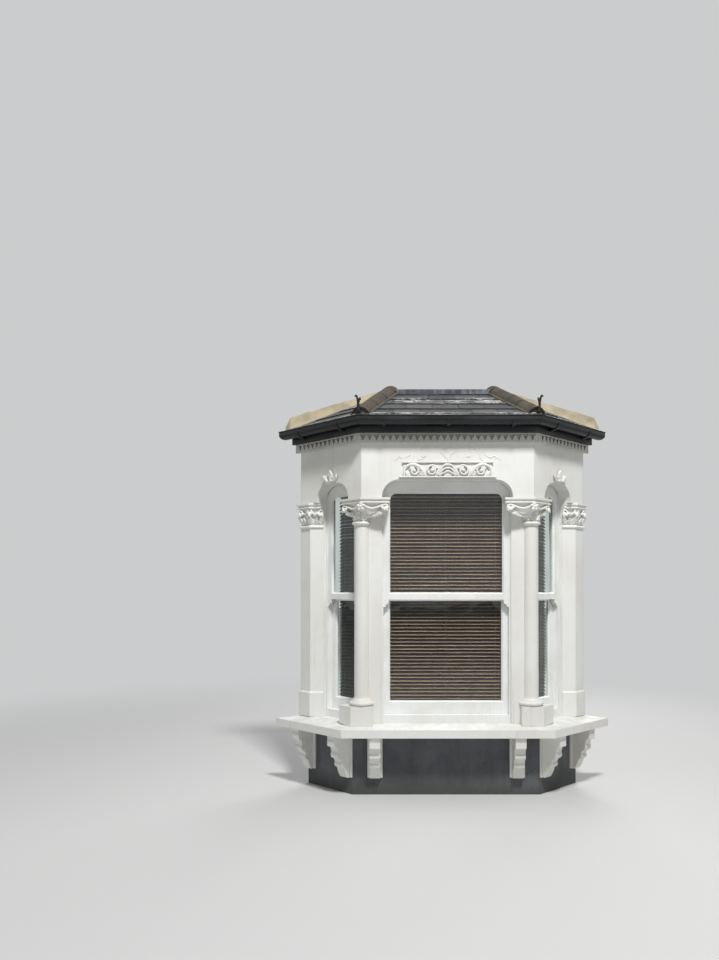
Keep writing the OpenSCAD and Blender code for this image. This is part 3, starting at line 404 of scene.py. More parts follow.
def sheet_glass():
    """Old clear glass: slightly green, slightly wavy, with blotches of film."""
    f = Finish("sheet_glass", roughness=0.02)
    f.set("Transmission Weight", 1.0)
    f.set("IOR", 1.5)
    film = f.noise(6, 4, 0.6)
    f.colour(f.blend(film, 0.3, 0.8, (0.86, 0.92, 0.90, 1), (0.74, 0.80, 0.78, 1)))
    f.roughness(f.fade(f.noise(18, 5, 0.65), 0.45, 0.8, 0.01, 0.10))
    f.bumps(f.noise(5, 2), 0.0012)
    clear = f.add("BsdfTransparent", {"Color": (0.86, 0.90, 0.88, 1)})
    shadow = f.add("LightPath").outputs["Is Shadow Ray"]
    f.surface(f.mixed(shadow, f.shader, clear))
    return f.material


def stained_slats_with_painted_shade(name, lit_tones, painted_shade_tones):
    """Slats in their lit tones at the outer edge, where depth is 0, and near black painted shade
    behind it.
    """
    f = Finish(name)
    grain = f.streaks(3, 60, 60, 5, 0.65)
    tone = f.plus(f.times(grain, 0.6), f.times(f.island(), 0.4))
    edge, inner = (f.mix(f.fade(tone, 0.25, 0.75), *pair) for pair in (lit_tones, painted_shade_tones))
    depth = f.add("Attribute", attribute_name="depth").outputs["Fac"]
    # painted light and shade: lit tones on the outer part, painted shade on the inner part of each
    # slat
    f.colour(f.blend(depth, 0.13, 0.21, edge, inner))
    f.set("Specular IOR Level", 0.25)
    f.roughness(f.fade(grain, 0.3, 0.7, 0.5, 0.7))
    return f.bumps(grain, 0.0004, edge=0.0008)


def woven_cord():
    f = Finish("woven_cord", roughness=0.85)
    weave = f.streaks(300, 300, 900, 2, 0.5)
    f.colour(f.blend(weave, 0.35, 0.65, "54483c", "766856"))
    return f.bumps(weave, 0.0006)


def weathered_slate():
    """Riven slate: each its own grey, with lime runs, lichen and pale droppings."""
    f = Finish("weathered_slate")
    base = f.mix(f.island(), "3a3d42", "5a5959")
    base = f.blend(f.noise(5, 5, 0.6), 0.4, 0.75, base, "484640", 0.6)
    runs = f.streaks(9, 5, 5, 5, 0.7)
    lime = f.patches(f.noise(26, 5, 0.75, distortion=1.5), 0.57, 0.66, runs, 0.5, 0.62)
    base = f.mix(f.times(lime, 0.6), base, "b8b8b2")
    # old paint in two bands: from 3.15 to 3.275 m and below 3.052 m
    upper = f.times(f.fade(f.height(), 3.15, 3.20), f.fade(f.height(), 3.235, 3.275, 1, 0))
    band = f.math("MAXIMUM", upper, f.fade(f.height(), 3.030, 3.052, 1, 0))
    ragged = f.streaks(16, 34, 34, 6, 0.72, 1.2)
    worn = f.fade(f.noise(3.1, 3), 0.42, 0.52)
    paint = f.times(f.fade(ragged, 0.515, 0.55), f.times(band, worn))
    base = f.mix(paint, base, "cecec8")
    lichen = f.patches(f.noise(60, 3), 0.62, 0.7, f.noise(4, 3), 0.5, 0.6)
    base = f.mix(f.times(lichen, 0.5), base, "807c60")
    f.colour(base)
    riven = f.plus(f.noise(14, 6, 0.65), f.times(f.noise(90, 4), 0.3))
    f.roughness(f.fade(riven, 0.4, 0.9, 0.5, 0.85))
    return f.bumps(riven, 0.003, edge=0.001)


def weathered_clay():
    f = Finish("weathered_clay", roughness=0.85)
    broad = f.noise(7, 5, 0.6)
    base = f.blend(broad, 0.35, 0.7, "4d453b", "38342f")
    lichen = f.fade(f.noise(38, 5, 0.7), 0.55, 0.66)
    base = f.mix(f.times(lichen, 0.4), base, "746f5f")
    # painted shade: ambient occlusion darkens the hollows and joints of the tiles
    painted_hollow_shade = f.fade(f.creases(0.03), 0.3, 0.9, 0, 0.8)
    f.colour(f.mix(painted_hollow_shade, base, "2c2a28"))
    return f.bumps(f.plus(broad, f.times(f.noise(120, 4), 0.5)), 0.003, edge=0.003)


def weathered_lead():
    f = Finish("weathered_lead", roughness=0.5, metallic=0.35)
    broad = f.noise(6, 5, 0.6)
    patina = f.fade(f.streaks(20, 6, 6, 5, 0.65), 0.42, 0.66)
    base = f.blend(broad, 0.35, 0.7, "343942", "50545b")
    f.colour(f.mix(f.times(patina, 0.45), base, "969696"))
    f.roughness(f.fade(broad, 0.3, 0.7, 0.4, 0.62))
    return f.bumps(f.noise(11, 3), 0.005, edge=0.003)


def black_gloss(name, roughness):
    """Black gloss paint over iron or timber, dulled and dusty in places."""
    f = Finish(name)
    broad = f.noise(4, 5, 0.6)
    dust = f.times(f.fade(f.facing_up(), 0.2, 0.9), f.fade(broad, 0.35, 0.7, 0.1, 0.6))
    base = f.blend(broad, 0.4, 0.7, "0a0c0f", "16191c")
    base = f.mix(dust, base, "323333")
    rust = f.patches(f.noise(48, 5, 0.7), 0.66, 0.72, f.noise(5, 3), 0.5, 0.6)
    f.colour(f.mix(f.times(rust, 0.6), base, "5c3a26"))
    f.roughness(f.fade(broad, 0.3, 0.7, roughness, roughness + 0.25))
    return f.bumps(f.plus(f.noise(90, 3), f.times(broad, 2)), 0.0006, edge=0.0015)


def cement_mortar(name, light, dark):
    f = Finish(name, roughness=0.92)
    broad = f.noise(8, 5, 0.6)
    sand = f.noise(260, 3, 0.7)
    base = f.blend(broad, 0.35, 0.7, light, dark)
    base = f.blend(sand, 0.4, 0.7, base, "78705e", 0.4)
    f.colour(f.blend(f.noise(3, 4), 0.55, 0.75, base, "68645a", 0.6))
    return f.bumps(f.plus(f.times(broad, 3), sand), 0.0022, edge=0.005)


def weathered_render_in_painted_shade():
    """Grey cement render, its greys darker than its own as painted shade from the sill: blotches,
    runs below the sill, damp at the foot, map cracks.
    """
    f = Finish("weathered_render_in_painted_shade", roughness=0.92)
    broad = f.noise(2.4, 5, 0.6)
    sand = f.noise(210, 4, 0.7)
    # these base greys are darkened past the render's own grey, as painted shade
    base = f.blend(broad, 0.35, 0.68, "505358", "64676a")
    run = f.fade(f.streaks(9, 9, 1.6, 5, 0.65), 0.45, 0.75, 0, 0.5)
    base = f.mix(run, base, "404347")
    damp = f.fade(f.plus(f.height(), f.times(broad, 0.22)), 0.10, 0.30, 0.75, 0)
    base = f.mix(damp, base, "464842")
    base = f.blend(sand, 0.45, 0.75, base, "7c7c7a", 0.3)
    f.colour(base)
    crack = f.fade(f.cells(5, None, "DISTANCE_TO_EDGE"), 0.003, 0.012, 1, 0)
    crack = f.times(crack, f.fade(broad, 0.5, 0.6))
    return f.bumps(f.minus(f.plus(sand, f.times(broad, 3)), crack), 0.003, edge=0.006)


def rough_concrete():
    f = Finish("rough_concrete", roughness=0.95)
    broad = f.noise(3, 5, 0.6)
    base = f.blend(broad, 0.35, 0.7, "888680", "6a6966")
    f.colour(f.blend(f.noise(40, 4), 0.55, 0.7, base, "a09d94", 0.5))
    return f.bumps(f.plus(broad, f.noise(120, 4, 0.7)), 0.004, edge=0.006)


def sawn_timber(name, light, dark, along):
    """Softwood with grain along one axis, given by the stretch of its pattern."""
    f = Finish(name, roughness=0.75)
    grain = f.streaks(*along, 6, 0.65, 0.6)
    base = f.blend(grain, 0.3, 0.7, light, dark)
    knot = f.fade(f.cells(2.3), 0.03, 0.07, 1, 0)
    base = f.mix(f.times(knot, 0.7), base, "583a24")
    f.colour(f.blend(f.noise(2, 4), 0.45, 0.75, base, "80705c", 0.5))
    return f.bumps(grain, 0.0012, edge=0.002)


def floor_planks(width=0.11):
    """Worn boards that run into the room, each with its own tone and a dark joint."""
    f = Finish("floor_planks")
    across = f.math("DIVIDE", f.add("SeparateXYZ", {0: f.place}).outputs["X"], width)
    board = f.math("FLOOR", across)
    tone = f.add("TexWhiteNoise", {"W": board}, noise_dimensions="1D").outputs["Value"]
    edge = f.math("ABSOLUTE", f.minus(f.math("FRACT", across), 0.5))
    joint = f.fade(edge, 0.478, 0.492)
    grain = f.streaks(70, 4, 70, 6, 0.65, 0.5)
    base = f.blend(grain, 0.3, 0.7, "96704a", "765234")
    base = f.mix(f.times(tone, 0.4), base, "62462e")
    f.colour(f.mix(joint, base, "1c1612"))
    f.roughness(f.fade(f.noise(5, 4), 0.3, 0.7, 0.4, 0.65))
    return f.bumps(f.minus(f.times(grain, 0.3), joint), 0.0025)


def lime_plaster():
    f = Finish("lime_plaster", roughness=0.85)
    broad = f.noise(2, 5)
    f.colour(f.blend(broad, 0.35, 0.7, "e8e5db", "d7d2c6"))
    return f.bumps(f.plus(broad, f.times(f.noise(60, 4), 0.2)), 0.002, edge=0.003)


FINISHES = {
    "white_masonry": masonry_paint("masonry_paint", WHITE, IVORY, 0.7),
    "cornice_paint": masonry_paint("cornice_paint", "d0cfca", "bcbab3", 0.8),
    "white_joinery": gloss_joinery("joinery_gloss", "eeefee", "e4e4df"),
    "white_metal": gloss_joinery("fastener_gloss", "e2e3e2", "c4c2ba", 0.3),
    "glass": sheet_glass(),
    # front slats: wood tones as lit, then near black tones of painted shade
    "blind_wood": stained_slats_with_painted_shade("front_slats", ("7a5840", "967458"), ("110807", "1c0e0b")),
    "render": weathered_render_in_painted_shade(),
    "concrete": rough_concrete(),
    "floor_wood": floor_planks(),
    "plaster": lime_plaster(),
    "raw_timber": sawn_timber("sawn_timber", "b29876", "8c7154", (60, 5, 60)),
    "black_joinery": black_gloss("black_joinery_gloss", 0.35),
    "cast_iron": black_gloss("iron_gloss", 0.28),
    "slate": weathered_slate(),
    "clay": weathered_clay(),
    "lead": weathered_lead(),
    "cement": cement_mortar("cement_mortar", "b8ac90", "9c937d"),
}
# a darker, greyer copy of the front slats: painted shade on the side windows' blinds
SIDE_SLATS_IN_PAINTED_SHADE = stained_slats_with_painted_shade("side_slats", ("423e3c", "544f4c"), ("0e0e10", "18181b"))
CORD = woven_cord()
BEDDING = cement_mortar("bedding_mortar", "605a4f", "44413b")


# Building blocks of the added pieces

def add_piece(name, mesh, slot, replaces=(), finish=None):
    piece = added(name, mesh)
    mesh.materials.clear()
    mesh.materials.append(finish or FINISHES[slot])
    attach(piece, "root")
    if replaces:
        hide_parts(*replaces)


def mesh_of(bm, place=Matrix.Identity(4), smooth=False):
    """Closes a bmesh into a mesh at a place, with its faces turned outwards."""
    bmesh.ops.recalc_face_normals(bm, faces=bm.faces)
    bm.transform(place)
    if place.determinant() < 0:
        bmesh.ops.reverse_faces(bm, faces=bm.faces)
    mesh = bpy.data.meshes.new("piece")
    bm.to_mesh(mesh)
    bm.free()
    mesh.polygons.foreach_set("use_smooth", [smooth] * len(mesh.polygons))
    return mesh


def mirrored(mesh):
    other = mesh.copy()
    other.transform(MIRROR)
    other.flip_normals()
    return other


def add_pairs(slot, *pairs, finish=None):
    """Adds pieces on the right and their mirror images on the left; {} stands for the side."""
    for side in ("right", "left"):
        for name, mesh, node in pairs:
            shape = mesh if side == "right" else mirrored(mesh)
            add_piece(name.format(side), shape, slot, node and [node.format(side)], finish)


def carved(bm, voxel, place=Matrix.Identity(4)):
    """Melts overlapping solids into one skin, as thick paint does on old carving."""
    rough = added("rough", mesh_of(bm, place))
    melt = rough.modifiers.new("melt", "REMESH")
    melt.mode = "VOXEL"
    melt.voxel_size = voxel
    soften = rough.modifiers.new("soften", "SMOOTH")
    soften.factor = 0.5
    soften.iterations = 2
    bpy.context.view_layer.update()
    shaped = rough.evaluated_get(bpy.context.evaluated_depsgraph_get())
    result = bpy.data.meshes.new_from_object(shaped)
    bpy.data.objects.remove(rough)
    result.polygons.foreach_set("use_smooth", [True] * len(result.polygons))
    return result


def bevelled(bm, width, limit=50):
    """Rounds the edges that turn by more than a limit."""
    sharp = [e for e in bm.edges
             if len(e.link_faces) == 2 and e.calc_face_angle() > radians(limit)]
    bmesh.ops.bevel(bm, geom=sharp, offset=width, segments=2, affect="EDGES", clamp_overlap=True)


def shares(steps):
    """Even steps from 0 to 1."""
    return [i / steps for i in range(steps + 1)]


def along(points, steps=6):
    """A smooth line through some points."""
    points = [Vector(p) for p in points]
    ends = [2 * points[0] - points[1]] + points + [2 * points[-1] - points[-2]]
    line = []
    for a, b, c, d in zip(ends, ends[1:], ends[2:], ends[3:]):
        for t in shares(steps)[:-1]:
            line.append(0.5 * (2 * b + (c - a) * t + (2 * a - 5 * b + 4 * c - d) * t ** 2
                               + (3 * b - a - 3 * c + d) * t ** 3))
    return line + [points[-1]]


def skin(bm, rings, way=1):
    """A solid from rings of points. way turns its ends, and 0 joins the last ring to the first."""
    rings = [[bm.verts.new(point) for point in ring] for ring in rings]
    for low, high in zip(rings, rings[1:]) if way else zip(rings[-1:] + rings, rings):
        for k in range(len(low)):
            bm.faces.new((low[k - 1], low[k], high[k], high[k - 1]))
    if way:
        bm.faces.new(rings[0][::way])
        bm.faces.new(rings[-1][::-way])
    return rings


def tube(bm, line, radius, depth=1.0, sides=10, out=Vector((0, -1, 0))):
    """A closed tube along a line. radius is a function of 0 to 1, depth its share outwards."""
    rings = []
    last = len(line) - 1
    angles = [2 * pi * k / sides for k in range(sides)]
    for i, point in enumerate(line):
        tangent = (line[min(i + 1, last)] - line[max(i - 1, 0)]).normalized()
        across = tangent.cross(out).normalized()
        up = across.cross(tangent)
        r = radius(i / last)
        rings.append([point + r * (across * cos(a) + up * sin(a) * depth) for a in angles])
    skin(bm, rings)


def ball(bm, centre, radius, squash=(1, 1, 1)):
    place = Matrix.Translation(centre) @ Matrix.Diagonal((*squash, 1))
    bmesh.ops.create_icosphere(bm, subdivisions=3, radius=radius, matrix=place)


def block(bm, low, high):
    low, high = Vector(low), Vector(high)
    place = Matrix.Translation((low + high) / 2) @ Matrix.Diagonal((*(high - low), 1))
    bmesh.ops.create_cube(bm, size=1, matrix=place)


def leaf(bm, place, length, width, curl, lobes, thick):
    """A closed leaf from the origin up z, crowned towards -y, with its tip curled out."""
    grid = []
    for t in shares(14):
        half = width / 2 * max(sin(pi * min(t ** 0.8, 0.985)), 0.04) ** 0.75
        half *= 0.82 + 0.26 * abs(sin(lobes * pi * t))
        bend = -curl * length * t ** 2.5
        rise = length * t * (1 - 0.1 * curl * t)
        row = []
        for s in (j / 5 for j in range(-5, 6)):
            crown = 0.55 * half * (1 - s * s) - 0.30 * half * exp(-(s / 0.22) ** 2)
            row.append([bm.verts.new(place @ Vector((s * half, y, rise)))
                        for y in (bend - crown - thick / 2, bend + thick / 2)])
        grid.append(row)
    for low, high in zip(grid, grid[1:]):
        for a, b, c, d in zip(low, low[1:], high[1:], high):
            bm.faces.new((a[0], b[0], c[0], d[0]))
            bm.faces.new((b[1], a[1], d[1], c[1]))
        for a, b in ((low[0], high[0]), (low[-1], high[-1])):
            bm.faces.new((a[0], a[1], b[1], b[0]))
    for row in (grid[0], grid[-1]):
        for a, b in zip(row, row[1:]):
            bm.faces.new((a[0], b[0], b[1], a[1]))


def turned(bm, profile, centre):
    """A closed solid of revolution from (radius, height) points, from foot to head."""
    angles = [2 * pi * k / 64 for k in range(64)]
    skin(bm, [[Vector(centre) + Vector((r * cos(a), r * sin(a), z)) for a in angles]
              for r, z in profile])


def moulded(bm, plan, lips, section):
    """A slab over a plan, its edges drawn out by each edge's lip times the section's share.

    section is a list of (share, z) points from the underside to the top."""
    rings = []
    for share, z in section:
        edges = []
        for a, b, lip in zip(plan, plan[1:] + plan[:1], lips):
            way = (b - a).normalized()
            edges.append((a + Vector((way.y, -way.x)) * lip * share, way))
        ring = []
        for (p, d), (q, e) in zip(edges[-1:] + edges, edges):
            cross = d.x * e.y - d.y * e.x
            t = ((q.x - p.x) * e.y - (q.y - p.y) * e.x) / cross
            ring.append((p.x + d.x * t, p.y + d.y * t, z))
        rings.append(ring)
    skin(bm, rings, -1)


# Capitals of the columns

def ribbon_and_ball(bm, place, length, drop, thick=0.0095, leaf_foot=None):
    """Ribbon that sags from the corner and rises to a ball at the end of a face.

    leaf_foot is the point near the bell where the leaf that carries the ball starts."""
    ball_x, ball_z = length * 0.94, ABACUS_Z - 0.9 * drop
    upper = along([(0.004, -0.002, ABACUS_Z - 0.012)] + [
        (length * share, y, ABACUS_Z - sag * drop) for share, y, sag in (
            (0.16, -0.003, 0.55), (0.38, -0.003, 0.86), (0.62, -0.003, 0.66), (0.84, -0.003, 0.26),
            (0.98, -0.002, 0.30), (1.02, -0.001, 0.80))])
    shape = bmesh.new()
    tube(shape, upper, lambda t: thick * (1.12 - 0.3 * t), depth=0.85)
    for x, y, z, size, flat in (
            (0, -0.003, 0, 0.020, 0.9), (-0.013, -0.014, -0.008, 0.011, 1),
            (-0.028, -0.006, 0.006, 0.014, 0.8), (0.008, -0.010, -0.014, 0.010, 1)):
        ball(shape, (ball_x + x, y, ball_z + z), size, (1, flat, 1))
    if leaf_foot:
        foot = Vector(leaf_foot)
        tip = Vector((length * 0.90, 0.006, ball_z - 0.012))
        middle = foot.lerp(tip, 0.5) + Vector((0, 0.002, -0.006))
        arm = along([foot, middle, tip])
        tube(shape, arm, lambda t: 0.011 + 0.007 * sin(pi * t), depth=0.7)
        for t, size, drop_by in ((0.22, 0.012, 0.010), (0.38, 0.016, 0.012), (0.56, 0.014, 0.015),
                                 (0.72, 0.018, 0.012), (0.88, 0.014, 0.014)):
            spot = foot.lerp(tip, t) + Vector((0.003, -0.003, -drop_by))
            ball(shape, spot, size, (1.05, 0.55, 0.85))
        vein = [p + Vector((0, -0.012, 0.010)) for p in arm]
        tube(shape, vein, lambda t: 0.0050 * (1 - 0.4 * t))
    shape.transform(place)
    merge(bm, shape)


def merge(bm, other):
    mesh = bpy.data.meshes.new("part")
    other.to_mesh(mesh)
    other.free()
    bm.from_mesh(mesh)
    bpy.data.meshes.remove(mesh)


def rosette(bm, place, radius):
    """Small flower of five petals that faces outwards at a place."""
    for k in range(5):
        a = radians(90) + 2 * pi * k / 5
        spot = place @ Vector((0.66 * radius * cos(a), -0.004, 0.66 * radius * sin(a)))
        ball(bm, spot, 0.44 * radius)
    ball(bm, place @ Vector((0, -0.010, 0)), 0.34 * radius)
    ball(bm, place @ Vector((0, 0.008, 0)), 0.95 * radius, (1, 0.7, 1))


def abacus_plan():
    """Plan of the right abacus, from its end over the front opening round to the side one."""
    turn = Vector((FRIEZE_X + ABACUS_LIP * tan(CANT / 2), FRIEZE_Y - ABACUS_LIP))
    left = Vector((turn.x - ABACUS_W, turn.y))
    out = turn + ABACUS_W * Vector((cos(CANT), sin(CANT)))
    back = ABACUS_LIP + PIER_SETBACK
    inner_out = out + back * Vector((-sin(CANT), cos(CANT)))
    inner_corner = Vector((FRIEZE_X - PIER_SETBACK * tan(CANT / 2), FRIEZE_Y + PIER_SETBACK))
    return [left, turn, out, inner_out, inner_corner, Vector((left.x, left.y + back))]


def bell(start, spread):
    """Profile of a capital's bell, as (distance, height) points."""
    return [(start + spread * (1 - cos(a)), CAPITAL_Z + CAPITAL_H * sin(a))
            for a in (radians(15 * i) for i in range(7))]


def column_capital():
    """Right hand capital: bell, leaves, ribbons with balls and a flower at the corner."""
    carving = bmesh.new()
    turned(carving, bell(SHAFT_R, BELL_R - SHAFT_R), (COLUMN_X, COLUMN_Y, 0))
    taper = [(-0.058, CAPITAL_Z + 0.030), (-0.046, ABACUS_Z - 0.066), (-0.030, ABACUS_Z - 0.034),
             (-0.015, ABACUS_Z + 0.002)]
    moulded(carving, abacus_plan(), [1, 1, 2.2, 0, 0, 2.2], taper)
    front = face_frame(0) @ at(FRIEZE_X, 0, 0) @ MIRROR
    for place in (front, face_frame(1)):
        ribbon_and_ball(carving, place, ABACUS_W - 0.026, 0.048,
                        leaf_foot=(0.050, 0.050, CAPITAL_Z + 0.034))
    corner = at(FRIEZE_X, FRIEZE_Y + 0.002, ABACUS_Z - 0.027)
    rosette(carving, corner @ Matrix.Rotation(CANT / 2, 4, "Z"), 0.035)
    hoop = ((-15, 0.004), (-20, 0.030), (-14, 0.056), (0, 0.074),
            (14, 0.056), (20, 0.030), (15, 0.004))
    tube(carving, along([on_bell(a, h, 0.003) for a, h in hoop]), lambda t: 0.0060)
    ball(carving, on_bell(0, 0.036, -0.004), 0.013, (1, 1, 1.4))
    for side in (-1, 1):
        for stalk, thick in ((((27, 0.004), (33, 0.034), (45, 0.060), (64, 0.080)), 0.0085),
                             (((50, 0.004), (57, 0.030), (72, 0.054), (92, 0.070)), 0.0095),
                             (((84, 0.004), (90, 0.026), (104, 0.044)), 0.0085)):
            line = along([on_bell(side * a, h, 0.002 + 0.08 * h) for a, h in stalk])
            tube(carving, line, lambda t: thick * (1 - 0.3 * t))
    trim_behind(carving)
    return carved(carving, 0.0023)


def on_bell(degrees, height, lift):
    """A point over the right bell: turn from its outer corner, height over its foot, lift."""
    rise = asin(min(height / CAPITAL_H, 1))
    r = SHAFT_R + (BELL_R - SHAFT_R) * (1 - cos(rise)) + lift
    turn = CANT / 2 - pi / 2 + radians(degrees)
    return Vector((COLUMN_X + r * cos(turn), COLUMN_Y + r * sin(turn), CAPITAL_Z + height))


def trim_behind(bm, bury=0.010):
    """Draws in what would lie deep inside the right corner pier, to just behind its faces."""
    side = face_frame(1)
    side_back = side.col[1].xyz
    bisector = (INTO + side_back).normalized()
    for vert in bm.verts:
        front_depth = vert.co.y - FRIEZE_Y - PIER_SETBACK
        side_depth = (vert.co - side.translation).dot(side_back) - PIER_SETBACK
        depth = min(front_depth, side_depth) - bury
        if depth > 0:
            vert.co -= bisector * depth / cos(CANT / 2)


def abacus(plan, moulded_edges, lip=0.0):
    """Fillet, hollow and square slab over a plan, drawn out by a lip along its moulded edges."""
    foot = ABACUS_Z + 0.010
    curve = [(lip - 0.001 - 0.009 * sin(a), foot + 0.018 * (1 - cos(a)) / 2)
             for a in (radians(22.5 * i) for i in range(1, 8))]
    slab = bmesh.new()
    moulded(slab, plan, moulded_edges, [
        (lip - 0.004, ABACUS_Z), (lip - 0.001, ABACUS_Z + 0.002), (lip - 0.001, foot), *curve,
        (lip + 0.001, foot + 0.018), (lip + 0.002, foot + 0.020), (lip + 0.002, SPRING_Z)])
    return mesh_of(slab)


def add_column_capitals():
    slab = abacus(abacus_plan(), [1, 1, 1, 0, 0, 1])
    add_pairs("white_masonry", ("capital_{}", column_capital(), "column_capital_{}"),
              ("abacus_{}", slab, "column_capital_{}"))


# Capitals of the wall pilasters

def pilaster_faces():
    """Frames of both faces of the right wall pilaster, x from its corner, and their lengths."""
    corner = at(WALL_X - PILASTER_Y, WALL_Y - PILASTER_Y, 0)
    side = corner @ Matrix.Rotation(CANT, 4, "Z")
    return (corner @ MIRROR, PILASTER_W), (side, PILASTER_Y / sin(CANT))


def pilaster_plan():
    """Plan of the right wall pilaster, from its jamb round both faces to the wall and back."""
    jamb_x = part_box("pilaster_right")[0].x
    corner = Vector((WALL_X - PILASTER_Y, WALL_Y - PILASTER_Y))
    edge = corner - Vector((PILASTER_W, 0))
    jamb = Vector((jamb_x, edge.y + edge.x - jamb_x))
    return [jamb, edge, corner, Vector((WALL_X, WALL_Y)), Vector((jamb_x, WALL_Y))]


def wall_capital():
    carving = bmesh.new()
    moulded(carving, pilaster_plan(), [0, WALL_FLARE, WALL_FLARE, 0, 0], bell(-0.15, 1.05))
    leaves = ((0.17, -14, 0.080, 0.036), (0.72, 22, 0.092, 0.044), (0.46, 4, 0.066, 0.034))
    for place, length in pilaster_faces():
        out = place @ at(0, -WALL_FLARE * 0.8, 0)
        ribbon_and_ball(carving, out, length - 0.008, 0.056, 0.0085)
        for x, roll, size, width in leaves:
            stand = place @ at(x * length, 0.004, CAPITAL_Z + 0.002) @ turned_by(11, "X")
            leaf(carving, stand @ turned_by(roll, "Y"), size, width, 0.30, 3, 0.008)
    corner = pilaster_faces()[0][0] @ Vector((0, -0.010, ABACUS_Z - 0.046))
    ball(carving, corner + Vector((0.004, -0.004, 0)), 0.021)
    ball(carving, corner + Vector((0.007, -0.016, -0.012)), 0.012)
    return carved(carving, 0.0022)


def add_wall_capitals():
    slab = abacus(pilaster_plan(), [0, 1, 1, 0, 0], WALL_FLARE + 0.006)
    add_pairs("white_masonry", ("wall_capital_{}", wall_capital(), "pilaster_capitals"),
              ("wall_abacus_{}", slab, "pilaster_capitals"))


# Carved panel and labels

def label(bm, width):
    """Flat label over an opening: a square moulding with a step under it."""
    low = HEAD_Z + LABEL_GAP
    half = width / 2
    block(bm, (-half, -LABEL_D, low + 0.009), (half, SUNK, low + LABEL_T))
    block(bm, (-half + 0.012, -LABEL_D + 0.008, low), (half - 0.012, SUNK, low + 0.010))


def on_panel(x, y, z):
    """A point of the carved panel: x from its middle, y off the frieze, z from its foot."""
    return Vector((x, -y, PANEL_Z + z))


def scroll(bm, x, z, r, way, start, turns=1.2):
    """Ring that winds in to a round eye, thick as a finger."""
    ring = []
    for t in shares(44):
        a = radians(start) + way * 2 * pi * turns * t
        reach = r - 0.5 * r * t ** 1.5
        ring.append(Vector((x + reach * cos(a), -0.013 - 0.006 * t, PANEL_Z + z + reach * sin(a))))
    tube(bm, ring, lambda t: 0.0105 * (1 - 0.35 * t), depth=1.15)
    ball(bm, on_panel(x, 0.018, z), 0.40 * r, (1, 0.9, 1))


def acanthus(bm, x, lean, length, width):
    stand = at(x, -0.006, PANEL_Z - 0.002)
    leaf(bm, stand @ turned_by(lean, "Y"), length, width, 0.10, 3, 0.010)


def panel_carving():
    """Running scrolls, leaves between them and a palmette in the middle."""
    carving = bmesh.new()
    block(carving, (-PANEL_W / 2, -0.006, PANEL_Z - 0.002), (PANEL_W / 2, SUNK, PANEL_Z + PANEL_H))
    for side in (-1, 1):
        half = bmesh.new()
        outer = along([on_panel(x / 1000, y / 1000, z / 1000) for x, y, z in (
            (-343, 12, -2), (-345, 14, 30), (-334, 15, 64), (-308, 17, 86), (-272, 18, 92),
            (-236, 17, 80), (-206, 15, 52), (-188, 14, 22), (-172, 12, 2))])
        tube(half, outer, lambda t: 0.0070 + 0.0085 * sin(pi * t ** 1.6), depth=0.9)
        scroll(half, -0.264, 0.044, 0.036, -1, 160)
        scroll(half, -0.124, 0.047, 0.040, 1, 20)
        acanthus(half, -0.208, 14, 0.062, 0.050)
        acanthus(half, -0.312, -24, 0.050, 0.026)
        acanthus(half, -0.180, -20, 0.072, 0.028)
        for reach, peak, thick in ((0.082, 0.090, 0.0105), (0.072, 0.064, 0.0095),
                                   (0.060, 0.038, 0.0095)):
            wing = along([on_panel(*p) for p in (
                (0.004, 0.022, peak - 0.002), (-0.14 * reach, 0.024, peak),
                (-0.42 * reach, 0.022, peak - 0.010), (-0.76 * reach, 0.017, 0.48 * peak),
                (-reach, 0.012, 0.10 * peak))])
            tube(half, wing, lambda t: thick * (1.05 - 0.35 * t), depth=1.0)
        if side > 0:
            half.transform(MIRROR)
        merge(carving, half)
    ball(carving, on_panel(0, 0.008, 0.010), 0.030, (1.2, 0.5, 0.8))
    return carved(carving, 0.0023, face_frame(0))


def add_carved_panel():
    add_piece("panel_carving", panel_carving(), "white_masonry", ["label_panel"])
    frame_work = bmesh.new()
    label(frame_work, LABEL_W)
    half, top = PANEL_W / 2 + 0.010, PANEL_Z + PANEL_H
    block(frame_work, (-half, -0.019, top), (half, SUNK, top + 0.010))
    bevelled(frame_work, 0.002)
    add_piece("panel_label", mesh_of(frame_work, face_frame(0)), "white_masonry", ["label_panel"])


def add_side_bosses():
    """Label over a side opening, with a knot of twisted leaves on it."""
    carving = bmesh.new()
    label(carving, BOSS_W)
    for x, lean, twist, length, width in (
            (-0.030, -56, 24, 0.074, 0.052), (0.032, 50, -24, 0.070, 0.050),
            (0.004, -10, 14, 0.088, 0.056), (-0.016, 26, 50, 0.078, 0.044),
            (0.016, -38, -50, 0.064, 0.042)):
        stand = at(x, -0.008, PANEL_Z - 0.003) @ turned_by(lean, "Y") @ turned_by(twist, "Z")
        leaf(carving, stand, length, width, 0.24, 2, 0.012)
    ball(carving, (0.002, -0.014, PANEL_Z + 0.008), 0.016)
    for vert in carving.verts:
        vert.co.y = min(vert.co.y, 0.003)
    boss = carved(carving, 0.0026, window_frame(1))
    add_pairs("white_masonry", ("boss_{}", boss, "side_bosses"))


